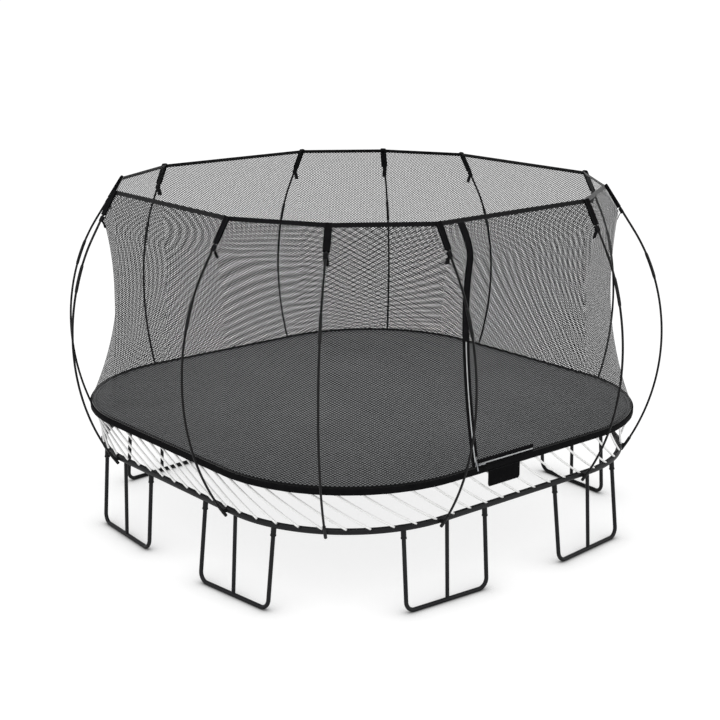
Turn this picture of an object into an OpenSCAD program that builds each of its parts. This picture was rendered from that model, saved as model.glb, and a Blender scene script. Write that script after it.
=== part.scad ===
// Springless garden trampoline with a rounded-square mat and a net enclosure.
// Flexible rods stand in a ring round a tube frame and stretch the mat from below.
// Twelve taller bowed rods hold the net outside the mat.
// Millimetres, +Z up. The origin is on the ground, below the centre of the mat.
// "Round the ring" always means counter-clockwise seen from above, from the middle of the front side.

/* [Overall] */
// Width of the jumping mat across two opposite sides
mat_w = 3400; // [2600:50:3600]
// Height of the mat's upper face above the ground
mat_z = 875; // [800:5:950]
// Height of the net's top edge above the ground
net_top_z = 2444; // [2200:10:2600]
// Half the length of each straight side of the frame
side_half = 670; // [500:10:760]

/* [Frame] */
// Distance from the mat's edge back to the frame's centreline
mat_overhang = 88; // [80:1:100]
// Height of the frame's centreline
frame_z = 568; // [540:1:600]
// Outside diameter of the frame tube
frame_d = 42; // [38:1:48]
// Wall of the frame tube
frame_wall = 2; // [1.5:0.5:3]
// Depth of a joint's inner sleeve in a straight tube
spigot_in = 45; // [40:5:60]

/* [Legs] */
// Outside diameter of a leg's bent tube
leg_d = 28; // [25:1:32]
// Outside diameter of a leg's middle post
post_d = 26; // [22:1:27]
// Wall of the leg tubes
leg_wall = 1.5; // [1.2:0.1:2.5]
// Distance along the frame from a leg's middle to one of its two sockets
leg_half = 332; // [280:4:360]
// Distance along the side from its middle to a leg's middle
leg_from_middle = 661; // [620:1:700]
// How far all the legs sit round the ring from that place
leg_shift = 24; // [0:2:40]
// How far the left leg's foot on a side stands outside its sockets
leg_splay_a = 40; // [20:1:90]
// How far the right leg's foot on a side stands outside its sockets
leg_splay_b = 65; // [20:1:90]
// Bend radius of a leg's lower corners
leg_bend = 65; // [50:1:90]
// Outside diameter of a leg socket
socket_d = 35; // [33:1:40]
// Length of a leg socket below the frame tube
socket_len = 48; // [40:1:70]
// Height of the collar at a leg socket's lower edge
collar_h = 9; // [6:1:14]

/* [Mat] */
// Thickness of the mat
mat_t = 2; // [1:0.5:4]
// Width of the sewn border on top of the mat
border_w = 20; // [16:1:30]
// Distance from the mat's edge to the seam of its hem
hem_w = 45; // [32:1:70]
// Depth of the border's skirt below the mat
skirt_h = 38; // [25:1:60]
// Thickness of the border webbing
border_t = 3; // [2:0.5:4]

/* [Mat rods] */
// Number of mat rods in each quarter of the ring
rods_per_side = 19; // [15:1:22]
// Diameter of a mat rod
mat_rod_d = 15; // [12:0.5:16]
// Level distance that a rod leans back round the ring
mat_rod_reach = 370; // [300:5:420]
// How far the middle of a rod hangs below a straight line
mat_rod_sag = 8; // [4:1:20]
// Height above the frame's centreline at which a rod comes to the frame
mouth_up = 31; // [29:1:36]
// Distance outside the frame's centreline at which it does so
mouth_out = 10; // [0:1:14]
// Depth of a rod's foot below that mouth, along the rod
mouth_depth = 40; // [36:1:42]
// Place of the middle rod of a side, round the ring from the side's middle
mat_rod_phase = -20; // [-70:1:70]

/* [Net rods] */
// Diameter of a net rod
net_rod_d = 13; // [10:0.5:16]
// Distance along a side from its middle to a side rod
net_rod_side = 658; // [600:2:680]
// How far all the net rods sit round the ring from that place
net_rod_shift = -47; // [-60:1:0]
// Height of the lower end of a net rod's socket
net_rod_foot_z = 532; // [500:1:550]
// Height at which a net rod runs on straight to its tip
net_rod_bend_z = 2100; // [2000:10:2200]
// Bow of a net rod between its foot and that height
net_rod_bow = 223; // [180:1:260]
// Length of a net rod's socket
net_socket_len = 112; // [90:1:150]
// Length of the ferrule that joins a net rod's two halves
ferrule_len = 190; // [120:5:240]
// Distance along the rod from its straight part down to the ferrule
ferrule_down = 130; // [60:10:300]
// Length of the padded sleeve that holds a rod's tip
sleeve_len = 168; // [120:2:170]
// Distance along the rod from its tip down to the lower edge of the strap round it
strap_down = 206; // [204:1:220]
// Width of that strap
strap_w = 34; // [20:1:34]
// Length of the strap's tail
strap_len = 46; // [30:2:60]
// Slope of the tail, inwards from hanging straight down
strap_lean = 20; // [0:1:40]

/* [Net] */
// Thickness of the net cloth as a solid
net_t = 1.2; // [1:0.1:3]
// Height of the line where the net turns in towards its top edge
shoulder_z = 2275; // [2200:5:2320]
// Height of the net's waist
waist_z = 1800; // [1600:10:1900]
// Height of the top band
band_h = 30; // [20:1:50]

/* [Door] */
// Width of the whole upright zip, both tapes and the teeth
zip_w = 58; // [40:1:80]
// Width of the joined teeth
teeth_w = 8; // [6:1:12]
// Height of the top of the upright zip
zip_top_z = 1690; // [1400:10:1900]
// Length of the level zip along the mat's edge
hem_len = 512; // [400:4:700]
// Height of the level zip's tape above the mat
hem_h = 50; // [36:1:70]

/* [Hidden] */
SIDES = ["front", "right", "back", "left"];

// The frame's centreline and everything parallel to it
corner_r = mat_w / 2 - mat_overhang - side_half;
corner_len = corner_r * PI / 2;
quarter = 2 * side_half + corner_len;
// Segments in a full turn of a large bend, and round a tube
bend_fn = 360;
tube_fn = 28;
deg = 180 / PI;

// Net rods, in threes: left side rod, right side rod, corner rod
rod_places = [-net_rod_side + net_rod_shift, net_rod_side + net_rod_shift,
    side_half + corner_len / 2 + net_rod_shift];
// Offsets from the frame's centreline at two side rods and a corner rod:
// the rods' feet, their bends and their tips, then the net's shoulder and waist
foot_out = [22, 22, 16];
bend_out = [172, 172, 62];
tip_out = [-35, -35, -166];
shoulder_out = [50, 50, -80];
waist_out = [-8, -8, -112];
net_base_out = mat_overhang - 14;
net_base_z = mat_z + 8;

// Zip: its place between the two side rods, at the net's top and at its foot
zip_at_top = 0.14;
zip_at_foot = 0.182;
hem_out = mat_overhang - 9;
hem_teeth_z = mat_z + 24;
zip_foot_z = net_base_z + 2;
// How far each tape laps over the net
tape_lap = 12;

// ---- The ring: points at a distance s round it, moved outwards by out ----

function ring_side(s) = floor((s + side_half) / quarter);
function ring_rest(s) = s - ring_side(s) * quarter;
function ring_bend(s) = max(0, (ring_rest(s) - side_half) / corner_r * deg);
function ring_turn(s) = 90 * ring_side(s) + ring_bend(s);
function spin(p, a) = [p.x * cos(a) - p.y * sin(a), p.x * sin(a) + p.y * cos(a)];
function ring_local(s, out) =
    let (r = corner_r + out, b = ring_bend(s))
    [min(ring_rest(s), side_half) + r * sin(b), -side_half - r * cos(b)];
function ring_at(s, out) = spin(ring_local(s, out), 90 * ring_side(s));
function ring_point(s, out, z) = let (p = ring_at(s, out)) [p.x, p.y, z];
function outward(s) = let (a = ring_turn(s) - 90) [cos(a), sin(a), 0];
function mix(a, b, t) = a + (b - a) * t;
function unit(v) = v / norm(v);

module at_ring(s, out, z) {
    translate(ring_point(s, out, z)) rotate([0, 0, ring_turn(s)]) children();
}

// A rounded square, moved outwards from the frame's centreline by out
module ring_area(out) {
    half = side_half + corner_r + out;
    square([2 * side_half, 2 * half], center = true);
    square([2 * half, 2 * side_half], center = true);
    for (x = [-side_half, side_half], y = [-side_half, side_half])
        translate([x, y]) circle(corner_r + out, $fn = bend_fn);
}

// ---- Bars bent to an arc from p to q, with its middle moved by sag towards bulge ----

function arc_r(p, q, sag) = (pow(norm(q - p), 2) / 4 + sag * sag) / (2 * sag);
function arc_half(p, q, sag) = asin(norm(q - p) / 2 / arc_r(p, q, sag));
function arc_len(p, q, sag) = 2 * arc_half(p, q, sag) / deg * arc_r(p, q, sag);
function arc_up(p, q, bulge) = let (u = unit(q - p)) unit(bulge - (bulge * u) * u);
function arc_centre(p, q, bulge, sag) =
    (p + q) / 2 - arc_up(p, q, bulge) * (arc_r(p, q, sag) - sag);
// Point at a distance d along the arc from p
function arc_point(p, q, bulge, sag, d) =
    let (r = arc_r(p, q, sag), a = d / r * deg - arc_half(p, q, sag))
    arc_centre(p, q, bulge, sag) + r * (cos(a) * arc_up(p, q, bulge) + sin(a) * unit(q - p));

// The stretch of that bar from d0 to d1 along the arc
module arc_bar(p, q, bulge, sag, d, d0, d1) {
    u = unit(q - p);
    w = arc_up(p, q, bulge);
    n = cross(w, u);
    c = arc_centre(p, q, bulge, sag);
    r = arc_r(p, q, sag);
    a0 = d0 / r * deg - arc_half(p, q, sag);
    multmatrix([[w.x, u.x, n.x, c.x], [w.y, u.y, n.y, c.y], [w.z, u.z, n.z, c.z], [0, 0, 0, 1]])
        rotate_extrude(angle = (d1 - d0) / r * deg, start = a0, $fn = bend_fn)
            translate([r, 0]) circle(d = d, $fn = tube_fn);
}

// A straight bar from p to q
module bar(p, q, d) {
    v = q - p;
    translate(p) rotate([0, acos(v.z / norm(v)), atan2(v.y, v.x)])
        cylinder(h = norm(v), d = d, $fn = tube_fn);
}

// ---- Frame ----

module frame_side(n) {
    bore = frame_d - 2 * frame_wall;
    color("#2b2c2d") rotate([0, 0, 90 * n]) difference() {
        translate([-side_half, -side_half - corner_r, frame_z]) rotate([0, 90, 0]) difference() {
            cylinder(h = 2 * side_half, d = frame_d, $fn = 48);
            translate([0, 0, -1]) cylinder(h = 2 * side_half + 2, d = bore, $fn = 48);
        }
        cup_holes(-side_half - cup_reach, side_half);
    }
}

module frame_corner(n) {
    color("#2b2c2d") rotate([0, 0, 90 * n]) difference() {
        translate([side_half, -side_half, frame_z])
            rotate_extrude(angle = 90, start = -90, $fn = bend_fn) translate([corner_r, 0])
                difference() {
                    circle(d = frame_d, $fn = 48);
                    circle(d = frame_d - 2 * frame_wall, $fn = 48);
                }
        cup_holes(side_half - cup_reach, side_half + corner_len);
    }
}

// Slanted holes for the mat rods that come to the frame between s0 and s1, wider at the foot for their cups
module cup_holes(s0, s1) {
    for (j = [-rods_per_side : 2 * rods_per_side]) let (s = mat_rod_place(0, j))
        if (s > s0 && s < s1) {
            bar(cup_point(s, -cup_floor), cup_point(s, cup_rise), cup_d);
            bar(cup_point(s, 0), cup_point(s, mouth_depth + 10), mat_rod_d + 1);
        }
}

// Straight inner sleeves across the eight joints, short enough at one end for the bend
module frame_spigots() {
    d = frame_d - 2 * frame_wall - 1.6;
    l = spigot_in + 34;
    color("#8a8d90") for (n = [0 : 3], end = [-1, 1]) rotate([0, 0, 90 * n])
        translate([end * side_half, -side_half - corner_r, frame_z]) rotate([0, end * 90, 0])
            translate([0, 0, -spigot_in]) difference() {
                cylinder(h = l, d = d, $fn = 40);
                translate([0, 0, -1]) cylinder(h = l + 2, d = d - 2 * frame_wall, $fn = 40);
            }
}

// ---- Legs ----

// Leg 0 of a side is its left one, seen from outside, and leg 1 its right one
function leg_place(side, i) = side * quarter + (i == 0 ? -1 : 1) * leg_from_middle + leg_shift;
function leg_end(s, e) = ring_point(s + e * leg_half, 0, frame_z);
function leg_span(s) = norm(leg_end(s, 1) - leg_end(s, -1)) / 2;
function leg_splay(i) = [leg_splay_a, leg_splay_b][i];
// The bars are flattened by this much where they bear on the ground
foot_flat = 0.4;
foot_z = leg_d / 2 - foot_flat;
function leg_drop(i) = norm([leg_splay(i), frame_z - foot_z]);
socket_bottom = frame_d / 2 + socket_len;
// Depth below the frame's centreline at which a leg's tube ends in its socket
leg_top_down = 27;

// Local frame of a leg: X from socket to socket, Z up along the leaning leg
module at_leg(s, i) {
    a = leg_end(s, -1);
    b = leg_end(s, 1);
    translate((a + b) / 2) rotate([0, 0, atan2(b.y - a.y, b.x - a.x)])
        rotate([-asin(leg_splay(i) / leg_drop(i)), 0, 0]) children();
}

// The bent tube's axis, drawn with a given diameter
module leg_hoop(span, drop, d) {
    straight = drop - leg_bend - leg_top_down;
    for (e = [-1, 1]) {
        translate([e * span, 0, leg_bend - drop]) cylinder(h = straight, d = d, $fn = 32);
        translate([e * (span - leg_bend), 0, leg_bend - drop]) rotate([90, 0, 0])
            rotate_extrude(angle = 90, start = e > 0 ? -90 : 180, $fn = 96)
                translate([leg_bend, 0]) circle(d = d, $fn = 32);
    }
    translate([leg_bend - span, 0, -drop]) rotate([0, 90, 0])
        cylinder(h = 2 * (span - leg_bend), d = d, $fn = 32);
}

// Foot and head of the middle post
function post_foot(s, i) =
    let (m = (leg_end(s, -1) + leg_end(s, 1)) / 2, t = leg_end(s, 1) - leg_end(s, -1))
    m + unit([t.y, -t.x, 0]) * leg_splay(i) + [0, 0, foot_z - frame_z];
function post_head(s) = ring_point(s, 0, frame_z);

module leg(side, i) {
    s = leg_place(side, i);
    foot = post_foot(s, i);
    head = post_head(s);
    span = leg_span(s);
    color("#262728") difference() {
        union() {
            at_leg(s, i) leg_hoop(span, leg_drop(i), leg_d);
            bar(foot, head, post_d);
        }
        at_leg(s, i) leg_hoop(span, leg_drop(i), leg_d - 2 * leg_wall);
        bar(mix(foot, head, 0.04), head, post_d - 2 * leg_wall);
        at_leg(s, i) for (e = [-1, 1]) translate([e * span, 0, -leg_top_down - 1])
            cylinder(h = 2, d = leg_d - 2 * leg_wall, $fn = 32);
        frame_core(s, frame_d + 0.6);
        translate([0, 0, -10]) cube([2.5 * mat_w, 2.5 * mat_w, 20], center = true);
    }
}

module at_sockets() {
    for (side = [0 : 3], i = [0, 1]) let (s = leg_place(side, i))
        at_leg(s, i) for (e = [-1, 1]) translate([e * leg_span(s), 0, -socket_bottom]) children();
}

// Welded tubes under the frame, shaped to it, that take the tops of the legs
module leg_sockets() {
    color("#1f2021") difference() {
        at_sockets() cylinder(h = socket_bottom - 6, d = socket_d, $fn = 40);
        at_sockets() translate([0, 0, -1])
            cylinder(h = socket_bottom - leg_top_down + 2, d = leg_d + 0.6, $fn = 40);
        for (side = [0 : 3], i = [0, 1], e = [-1, 1])
            frame_core(leg_place(side, i) + e * leg_half, frame_d);
    }
}

// Plastic collars between each socket's lower edge and the leg
module leg_collars() {
    color("#171718") at_sockets() difference() {
        translate([0, 0, -3]) cylinder(h = collar_h, d = socket_d + 4, $fn = 40);
        cylinder(h = collar_h, d = socket_d + 0.2, $fn = 40);
        translate([0, 0, -4]) cylinder(h = collar_h, d = leg_d + 0.2, $fn = 40);
    }
}

// ---- Mat ----

// The cloth is folded back in a hem on top, which ends against the border
module jump_mat() {
    color("#3a3b3c") {
        translate([0, 0, mat_z - border_t - mat_t])
            linear_extrude(mat_t) ring_area(mat_overhang - border_t - 3);
        translate([0, 0, mat_z - border_t]) linear_extrude(border_t) difference() {
            ring_area(mat_overhang - border_w - 0.3);
            ring_area(mat_overhang - hem_w);
        }
    }
}

module mat_border() {
    color("#141415") {
        translate([0, 0, mat_z - border_t]) linear_extrude(border_t) difference() {
            ring_area(mat_overhang);
            ring_area(mat_overhang - border_w);
        }
        translate([0, 0, mat_z - skirt_h]) linear_extrude(skirt_h - border_t) difference() {
            ring_area(mat_overhang);
            ring_area(mat_overhang - border_t);
        }
    }
}

// ---- Mat rods ----

mouth_z = frame_z + mouth_up;
land_z = mat_z - border_t - mat_t - 18;
land_out = mat_overhang - 18;
function mat_rod_place(side, j) =
    side * quarter + mat_rod_phase + (j - (rods_per_side - 1) / 2) * quarter / rods_per_side;
function mouth(s) = ring_point(s, mouth_out, mouth_z);
// Place round the ring, behind s, where a rod of the given reach meets the mat's edge
function landing(s, near, far, steps) =
    let (mid = (near + far) / 2)
    steps == 0 ? mid :
    norm(ring_at(mid, land_out) - ring_at(s, mouth_out)) < mat_rod_reach
        ? landing(s, mid, far, steps - 1) : landing(s, near, mid, steps - 1);
function mat_rod_top(s) =
    let (t = landing(s, s - mat_rod_reach / 2, s - mat_rod_reach * 1.5, 14))
    ring_point(t, land_out, land_z);
// Slope of a hanging rod where it leaves its cup
function mouth_dir(s) =
    let (m = mouth(s), t = mat_rod_top(s), a = arc_half(m, t, mat_rod_sag))
    cos(a) * unit(t - m) - sin(a) * arc_up(m, t, [0, 0, 1]);
// A cup's diameter, the thickness of its floor, and its height above the floor
cup_d = mat_rod_d + 7;
cup_floor = 5;
cup_rise = 8;
cup_reach = mouth_depth + cup_floor;
// Point of a cup's axis at a height d above the rod's foot
function cup_point(s, d) = mouth(s) + (d - mouth_depth) * mouth_dir(s);
function mat_rod_foot(s) = cup_point(s, 0.3);

module mat_rod_stretch(s, d, d0, d1) {
    arc_bar(mat_rod_foot(s), mat_rod_top(s), [0, 0, -1], mat_rod_sag, d, d0, d1);
}

module mat_rods(side) {
    color("#f3f3f1") for (j = [0 : rods_per_side - 1]) let (s = mat_rod_place(side, j))
        mat_rod_stretch(s, mat_rod_d, 0, arc_len(mat_rod_foot(s), mat_rod_top(s), mat_rod_sag));
}

// Steel cups sunk in the top of the frame tube at the rods' slant
module mat_rod_sockets() {
    color("#1f2021") for (side = [0 : 3], j = [0 : rods_per_side - 1])
        let (s = mat_rod_place(side, j)) difference() {
            bar(cup_point(s, -cup_floor), cup_point(s, cup_rise), cup_d);
            bar(cup_point(s, 0), cup_point(s, cup_rise + 2), mat_rod_d + 1);
        }
}

// Moulded pockets under the mat's edge that hold the rods' tips
module mat_rod_pockets() {
    color("#1b1b1c") for (side = [0 : 3], j = [0 : rods_per_side - 1])
        let (s = mat_rod_place(side, j), tip = mat_rod_top(s)) mat_rod_pocket(s, tip);
}

module mat_rod_pocket(s, tip) {
    rod_len = arc_len(mat_rod_foot(s), tip, mat_rod_sag);
    roof = mat_z - border_t - mat_t;
    difference() {
        union() {
            mat_rod_stretch(s, mat_rod_d + 7, rod_len - 26, rod_len + 4);
            translate(tip) rotate([0, 0, ring_turn(s)]) translate([-9, -8, 0])
                cube([18, 16, roof - tip.z]);
        }
        mat_rod_stretch(s, mat_rod_d + 0.8, rod_len - 40, rod_len + 1);
    }
}

// ---- Net rods: an arc from the foot to the bend, then straight to the tip ----

function kind(k) = (k % 3 + 3) % 3;
function net_rod_s(k) = floor(k / 3) * quarter + rod_places[kind(k)];
function net_rod_foot(k) = ring_point(net_rod_s(k), foot_out[kind(k)], net_rod_foot_z);
function net_rod_bend(k) = ring_point(net_rod_s(k), bend_out[kind(k)], net_rod_bend_z);
function net_rod_tip(k) = ring_point(net_rod_s(k), tip_out[kind(k)], net_top_z);
function net_arc_len(k) = arc_len(net_rod_foot(k), net_rod_bend(k), net_rod_bow);
// Point of the straight part, a distance d below the tip
function below_tip(k, d) =
    let (tip = net_rod_tip(k), bend = net_rod_bend(k)) tip + d * unit(bend - tip);

module net_rod_arc(k, d, d0, d1) {
    arc_bar(net_rod_foot(k), net_rod_bend(k), outward(net_rod_s(k)), net_rod_bow, d, d0, d1);
}

// The rods of one side: two side rods and the corner rod after them
module net_rods(side) {
    color("#1a1a1b") for (k = [3 * side : 3 * side + 2]) {
        straight = norm(net_rod_tip(k) - net_rod_bend(k));
        net_rod_arc(k, net_rod_d, 14, net_arc_len(k) - 1);
        translate(net_rod_bend(k)) sphere(d = net_rod_d + 0.8, $fn = tube_fn);
        bar(below_tip(k, straight - 1), below_tip(k, 6), net_rod_d);
    }
}

// Open-ended tubes, each on a short lug welded to the outside of the frame
module net_rod_sockets() {
    lug = [12, 30, 25];
    color("#232425") difference() {
        for (k = [0 : 11]) {
            net_rod_arc(k, net_rod_d + 9, 0, net_socket_len);
            at_ring(net_rod_s(k), 12, frame_z)
                translate([-lug.x / 2, -lug.y, -lug.z / 2]) cube(lug);
        }
        for (k = [0 : 11]) {
            net_rod_arc(k, net_rod_d + 0.6, -2, net_socket_len + 2);
            frame_core(net_rod_s(k), frame_d);
        }
    }
}

// The frame tube itself near a place on the ring, drawn with a given diameter
module frame_core(s, d) {
    rest = ring_rest(s);
    near = 60;
    joint_in = side_half + corner_len - rest;
    rotate([0, 0, 90 * ring_side(s)]) {
        if (rest < side_half + near) frame_core_side(d);
        if (rest > side_half - near) translate([side_half, -side_half, frame_z])
            rotate_extrude(angle = 90, start = -90, $fn = bend_fn)
                translate([corner_r, 0]) circle(d = d, $fn = 48);
        if (joint_in < near) rotate([0, 0, 90]) frame_core_side(d);
    }
}

module frame_core_side(d) {
    translate([-side_half, -side_half - corner_r, frame_z]) rotate([0, 90, 0])
        cylinder(h = 2 * side_half, d = d, $fn = 48);
}

module net_rod_ferrules() {
    color("#101011") for (k = [0 : 11]) let (end = net_arc_len(k) - ferrule_down) difference() {
        net_rod_arc(k, net_rod_d + 6, end - ferrule_len, end);
        net_rod_arc(k, net_rod_d + 0.4, end - ferrule_len - 2, end + 2);
    }
}

// Lean of the straight part of rod k, and its frame: origin at its tip, Z up along it, Y inwards
function net_rod_lean(k) = let (v = net_rod_bend(k) - net_rod_tip(k)) acos(-v.z / norm(v));
module at_tip(k) {
    translate(net_rod_tip(k)) rotate([0, 0, ring_turn(net_rod_s(k))])
        rotate([-net_rod_lean(k), 0, 0]) children();
}

// Padded cloth sleeve over each rod's tip. It fills the space between the rod and the net,
// and is cut back from the top band, which passes inside the tip
sleeve = [42, 23];
sleeve_out = 9.5;
module net_rod_sleeves() {
    color("#161617") for (k = [0 : 11]) difference() {
        at_tip(k) translate([-sleeve.x / 2, -sleeve_out, -sleeve_len])
            cube([sleeve.x, sleeve.y, sleeve_len + 6]);
        translate(net_rod_tip(k)) rotate([0, 0, ring_turn(net_rod_s(k))])
            translate([-sleeve.x, band_in - 0.4, -band_h / 2])
                cube([2 * sleeve.x, sleeve.y, 2 * band_h]);
        bar(below_tip(k, sleeve_len + 20), below_tip(k, 5), net_rod_d + 0.6);
    }
}

// Strap looped round each rod below its sleeve, with a tail from the loop's foot in to the net
loop_t = 17;
strap_t = 2.5;
// Start of the tail, within the loop's inner wall: inwards from the rod's axis, and above the loop's foot
tail_in = 7.9;
tail_up = 1.8;
module net_rod_straps() {
    color("#1c1c1d") for (k = [0 : 11]) {
        difference() {
            at_tip(k) translate([-strap_w / 2, -loop_t / 2, -strap_down])
                cube([strap_w, loop_t, strap_w]);
            bar(below_tip(k, strap_down + 2), below_tip(k, 5), net_rod_d + 0.6);
        }
        at_tip(k) translate([0, tail_in, tail_up - strap_down])
            rotate([net_rod_lean(k) + strap_lean, 0, 0])
                translate([0.5 - strap_w / 2, -strap_t / 2, -strap_len])
                    cube([strap_w - 1, strap_t, strap_len]);
    }
}

// ---- Net ----

function rod_ring(k, outs) = ring_at(net_rod_s(k), outs[kind(k)]);
// Face of the top band that looks outwards, and the band's thickness with its gap to the net
band_in = 13.4;
band_t = 3;
function tip_inside(k) =
    let (p = net_rod_tip(k) - outward(net_rod_s(k)) * (band_in + band_t + 0.1)) [p.x, p.y];
// Place round the ring at a fraction w of the way from rod k to the next
function wall_s(k, w) = mix(net_rod_s(k), net_rod_s(k + 1), w);
// Point of the net between rod k and the next, at height z and moved in by inset:
// parabolas from the waist to the foot and to the shoulder, then straight to the top band
function net_point(k, w, z, inset) =
    let (s = wall_s(k, w),
        waist = mix(rod_ring(k, waist_out), rod_ring(k + 1, waist_out), w),
        bend = mix(rod_ring(k, shoulder_out), rod_ring(k + 1, shoulder_out), w),
        top = mix(tip_inside(k), tip_inside(k + 1), w),
        p = z < waist_z ? mix(waist, ring_at(s, net_base_out), pow((waist_z - z) / (waist_z - net_base_z), 2))
            : z < shoulder_z ? mix(waist, bend, pow((z - waist_z) / (shoulder_z - waist_z), 2))
            : mix(bend, top, min(1, (z - shoulder_z) / (net_top_z - band_h / 2 - shoulder_z))))
    [p.x, p.y, z] - outward(s) * inset;

// Heights of the rows of a strip of net from z0 up to z1
function rows(z0, z1, n) = [for (i = [0 : n]) mix(z0, z1, i / n)];
upper_rows = concat(rows(waist_z, shoulder_z, 3), [net_top_z - band_h / 2]);
wall_rows = concat(rows(net_base_z, waist_z - 183, 4), upper_rows, [net_top_z + band_h / 2 - 1]);

// A closed sheet between two upright edges, each a list of fractions w, one for each height
module net_sheet(k, heights, left, right, columns, inset, thick) {
    n = len(heights);
    m = columns + 1;
    grid = [for (side = [0, 1], i = [0 : n - 1], j = [0 : columns])
        net_point(k, mix(left[i], right[i], j / columns), heights[i], inset + side * thick)];
    outer = [for (i = [0 : n - 2], j = [0 : columns - 1]) let (a = i * m + j)
        [[a, a + m + 1, a + 1], [a, a + m, a + m + 1]]];
    back = n * m;
    ends = [for (i = [0 : n - 2]) let (a = i * m, b = a + columns)
        [[a, a + back, a + back + m], [a, a + back + m, a + m],
            [b, b + back + m, b + back], [b, b + m, b + back + m]]];
    top = (n - 1) * m;
    rims = [for (j = [0 : columns - 1]) let (a = j, b = top + j)
        [[a, a + 1, a + 1 + back], [a, a + 1 + back, a + back],
            [b, b + 1 + back, b + 1], [b, b + back, b + 1 + back]]];
    faces = concat([for (q = outer, f = q) f],
        [for (q = outer, f = q) [f[0] + back, f[2] + back, f[1] + back]],
        [for (q = ends, f = q) f], [for (q = rims, f = q) f]);
    polyhedron(grid, faces);
}

function same(v, heights) = [for (z = heights) v];
// Fraction of the zip's centreline at each height, moved sideways by x
function zip_w_at(heights, x) = let (l = net_rod_s(1) - net_rod_s(0))
    [for (z = heights) mix(zip_at_foot, zip_at_top, (z - net_base_z) / (net_top_z - net_base_z)) + x / l];

module net_wall(k, columns) {
    color("#77797b") net_sheet(k, wall_rows, same(0, wall_rows), same(1, wall_rows), columns, 0, net_t);
}

// The strip's and the door's edges stand apart below the waist, and the zip's tapes bridge that gap
function door_gap(z) = z > waist_z ? 0 : zip_w / 2 - tape_lap;
function door_edge(side) = [for (z = wall_rows) zip_w_at([z], side * door_gap(z))[0]];

module net_front_strip() {
    color("#77797b") net_sheet(0, wall_rows, same(0, wall_rows), door_edge(-1), 2, 0, net_t);
}

module net_front_door() {
    color("#6b6d6f") net_sheet(0, wall_rows, door_edge(1), same(1, wall_rows), 5, 0, net_t);
}

// Webbing round the net's top edge, straight from rod to rod
module net_top_band() {
    color("#121213") for (k = [0 : 11])
        let (a = tip_inside(k), b = tip_inside(k + 1), v = b - a, m = (a + b) / 2)
            translate([m.x, m.y, net_top_z]) rotate([0, 0, atan2(v.y, v.x)])
                translate([-norm(v) / 2, -band_t - 0.1, -band_h / 2]) cube([norm(v), band_t, band_h]);
}

// ---- Door ----

// The upright zip runs on an arc in the hollow of the net, from its foot to the cover
zip_p = net_point(0, zip_w_at([zip_foot_z], 0)[0], zip_foot_z, 0);
zip_q = net_point(0, zip_w_at([zip_top_z], 0)[0], zip_top_z, 0);
zip_sag = (net_base_out - waist_out[0])
    * pow((zip_top_z - zip_foot_z) / 2 / (waist_z - net_base_z), 2);
zip_in = [0, 1, 0];
zip_r = arc_r(zip_p, zip_q, zip_sag);
zip_len = arc_len(zip_p, zip_q, zip_sag);
zip_n = cross(arc_up(zip_p, zip_q, zip_in), unit(zip_q - zip_p));

// Part of the zip between depths a and b outside the net, x0 and x1 across, d0 and d1 along
module zip_arc(a, b, x0, x1, d0, d1) {
    u = unit(zip_q - zip_p);
    w = arc_up(zip_p, zip_q, zip_in);
    c = arc_centre(zip_p, zip_q, zip_in, zip_sag);
    a0 = d0 / zip_r * deg - arc_half(zip_p, zip_q, zip_sag);
    multmatrix([[w.x, u.x, zip_n.x, c.x], [w.y, u.y, zip_n.y, c.y], [w.z, u.z, zip_n.z, c.z],
        [0, 0, 0, 1]])
        rotate_extrude(angle = (d1 - d0) / zip_r * deg, start = a0, $fn = bend_fn)
            translate([zip_r - b, x0]) square([b - a, x1 - x0]);
}

// Frame of the zip at a distance d along it: X across, Y inwards, Z up along it
module at_zip(d) {
    c = arc_centre(zip_p, zip_q, zip_in, zip_sag);
    o = arc_point(zip_p, zip_q, zip_in, zip_sag, d);
    w = unit(o - c);
    u = cross(zip_n, w);
    multmatrix([[zip_n.x, w.x, u.x, o.x], [zip_n.y, w.y, u.y, o.y], [zip_n.z, w.z, u.z, o.z],
        [0, 0, 0, 1]]) children();
}

module zip_tape_fixed() {
    color("#111112") zip_arc(1, 2.2, -zip_w / 2, -teeth_w / 2, 0, zip_len);
}

module zip_tape_door() {
    color("#111112") zip_arc(1, 2.2, teeth_w / 2, zip_w / 2, hem_h - 4, zip_len);
}

module zip_teeth() {
    color("#9b9d9f") zip_arc(1, 3.4, -teeth_w / 2, teeth_w / 2, 0, zip_len);
}

cover_rows = concat([zip_top_z + 1], upper_rows);

// Wide webbing above the zip, up to the top band
module zip_cover() {
    color("#151516") net_sheet(0, cover_rows, zip_w_at(cover_rows, -zip_w / 2),
        zip_w_at(cover_rows, zip_w / 2), 1, -3.4, 2.4);
}

hem_x0 = zip_p.x;
hem_y = -side_half - corner_r - hem_out;

// Tape of the level zip, standing on the border just outside the net
module hem_tape() {
    start = slider.x / 2 + 1;
    color("#111112") translate([hem_x0 + start, hem_y, mat_z]) cube([hem_len + 6 - start, 2, hem_h]);
}

module hem_teeth() {
    start = slider.x / 2 + 1;
    color("#9b9d9f") translate([hem_x0 + start, hem_y - 1.5, hem_teeth_z - teeth_w / 2])
        cube([hem_len - start, 1.5, teeth_w]);
}

// Sewn to the skirt's outer face by its upper edge, with two rounded corners below
module label_patch() {
    w = 286;
    h = 110;
    r = 16;
    color("#0e0e0f") translate([-367, -mat_w / 2 - 0.5, mat_z - skirt_h + 6]) rotate([90, 0, 0])
        linear_extrude(2) union() {
            translate([0, r - h]) square([w, h - r]);
            translate([r, -h]) square([w - 2 * r, r]);
            for (x = [r, w - r]) translate([x, r - h]) circle(r, $fn = 32);
        }
}

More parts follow.
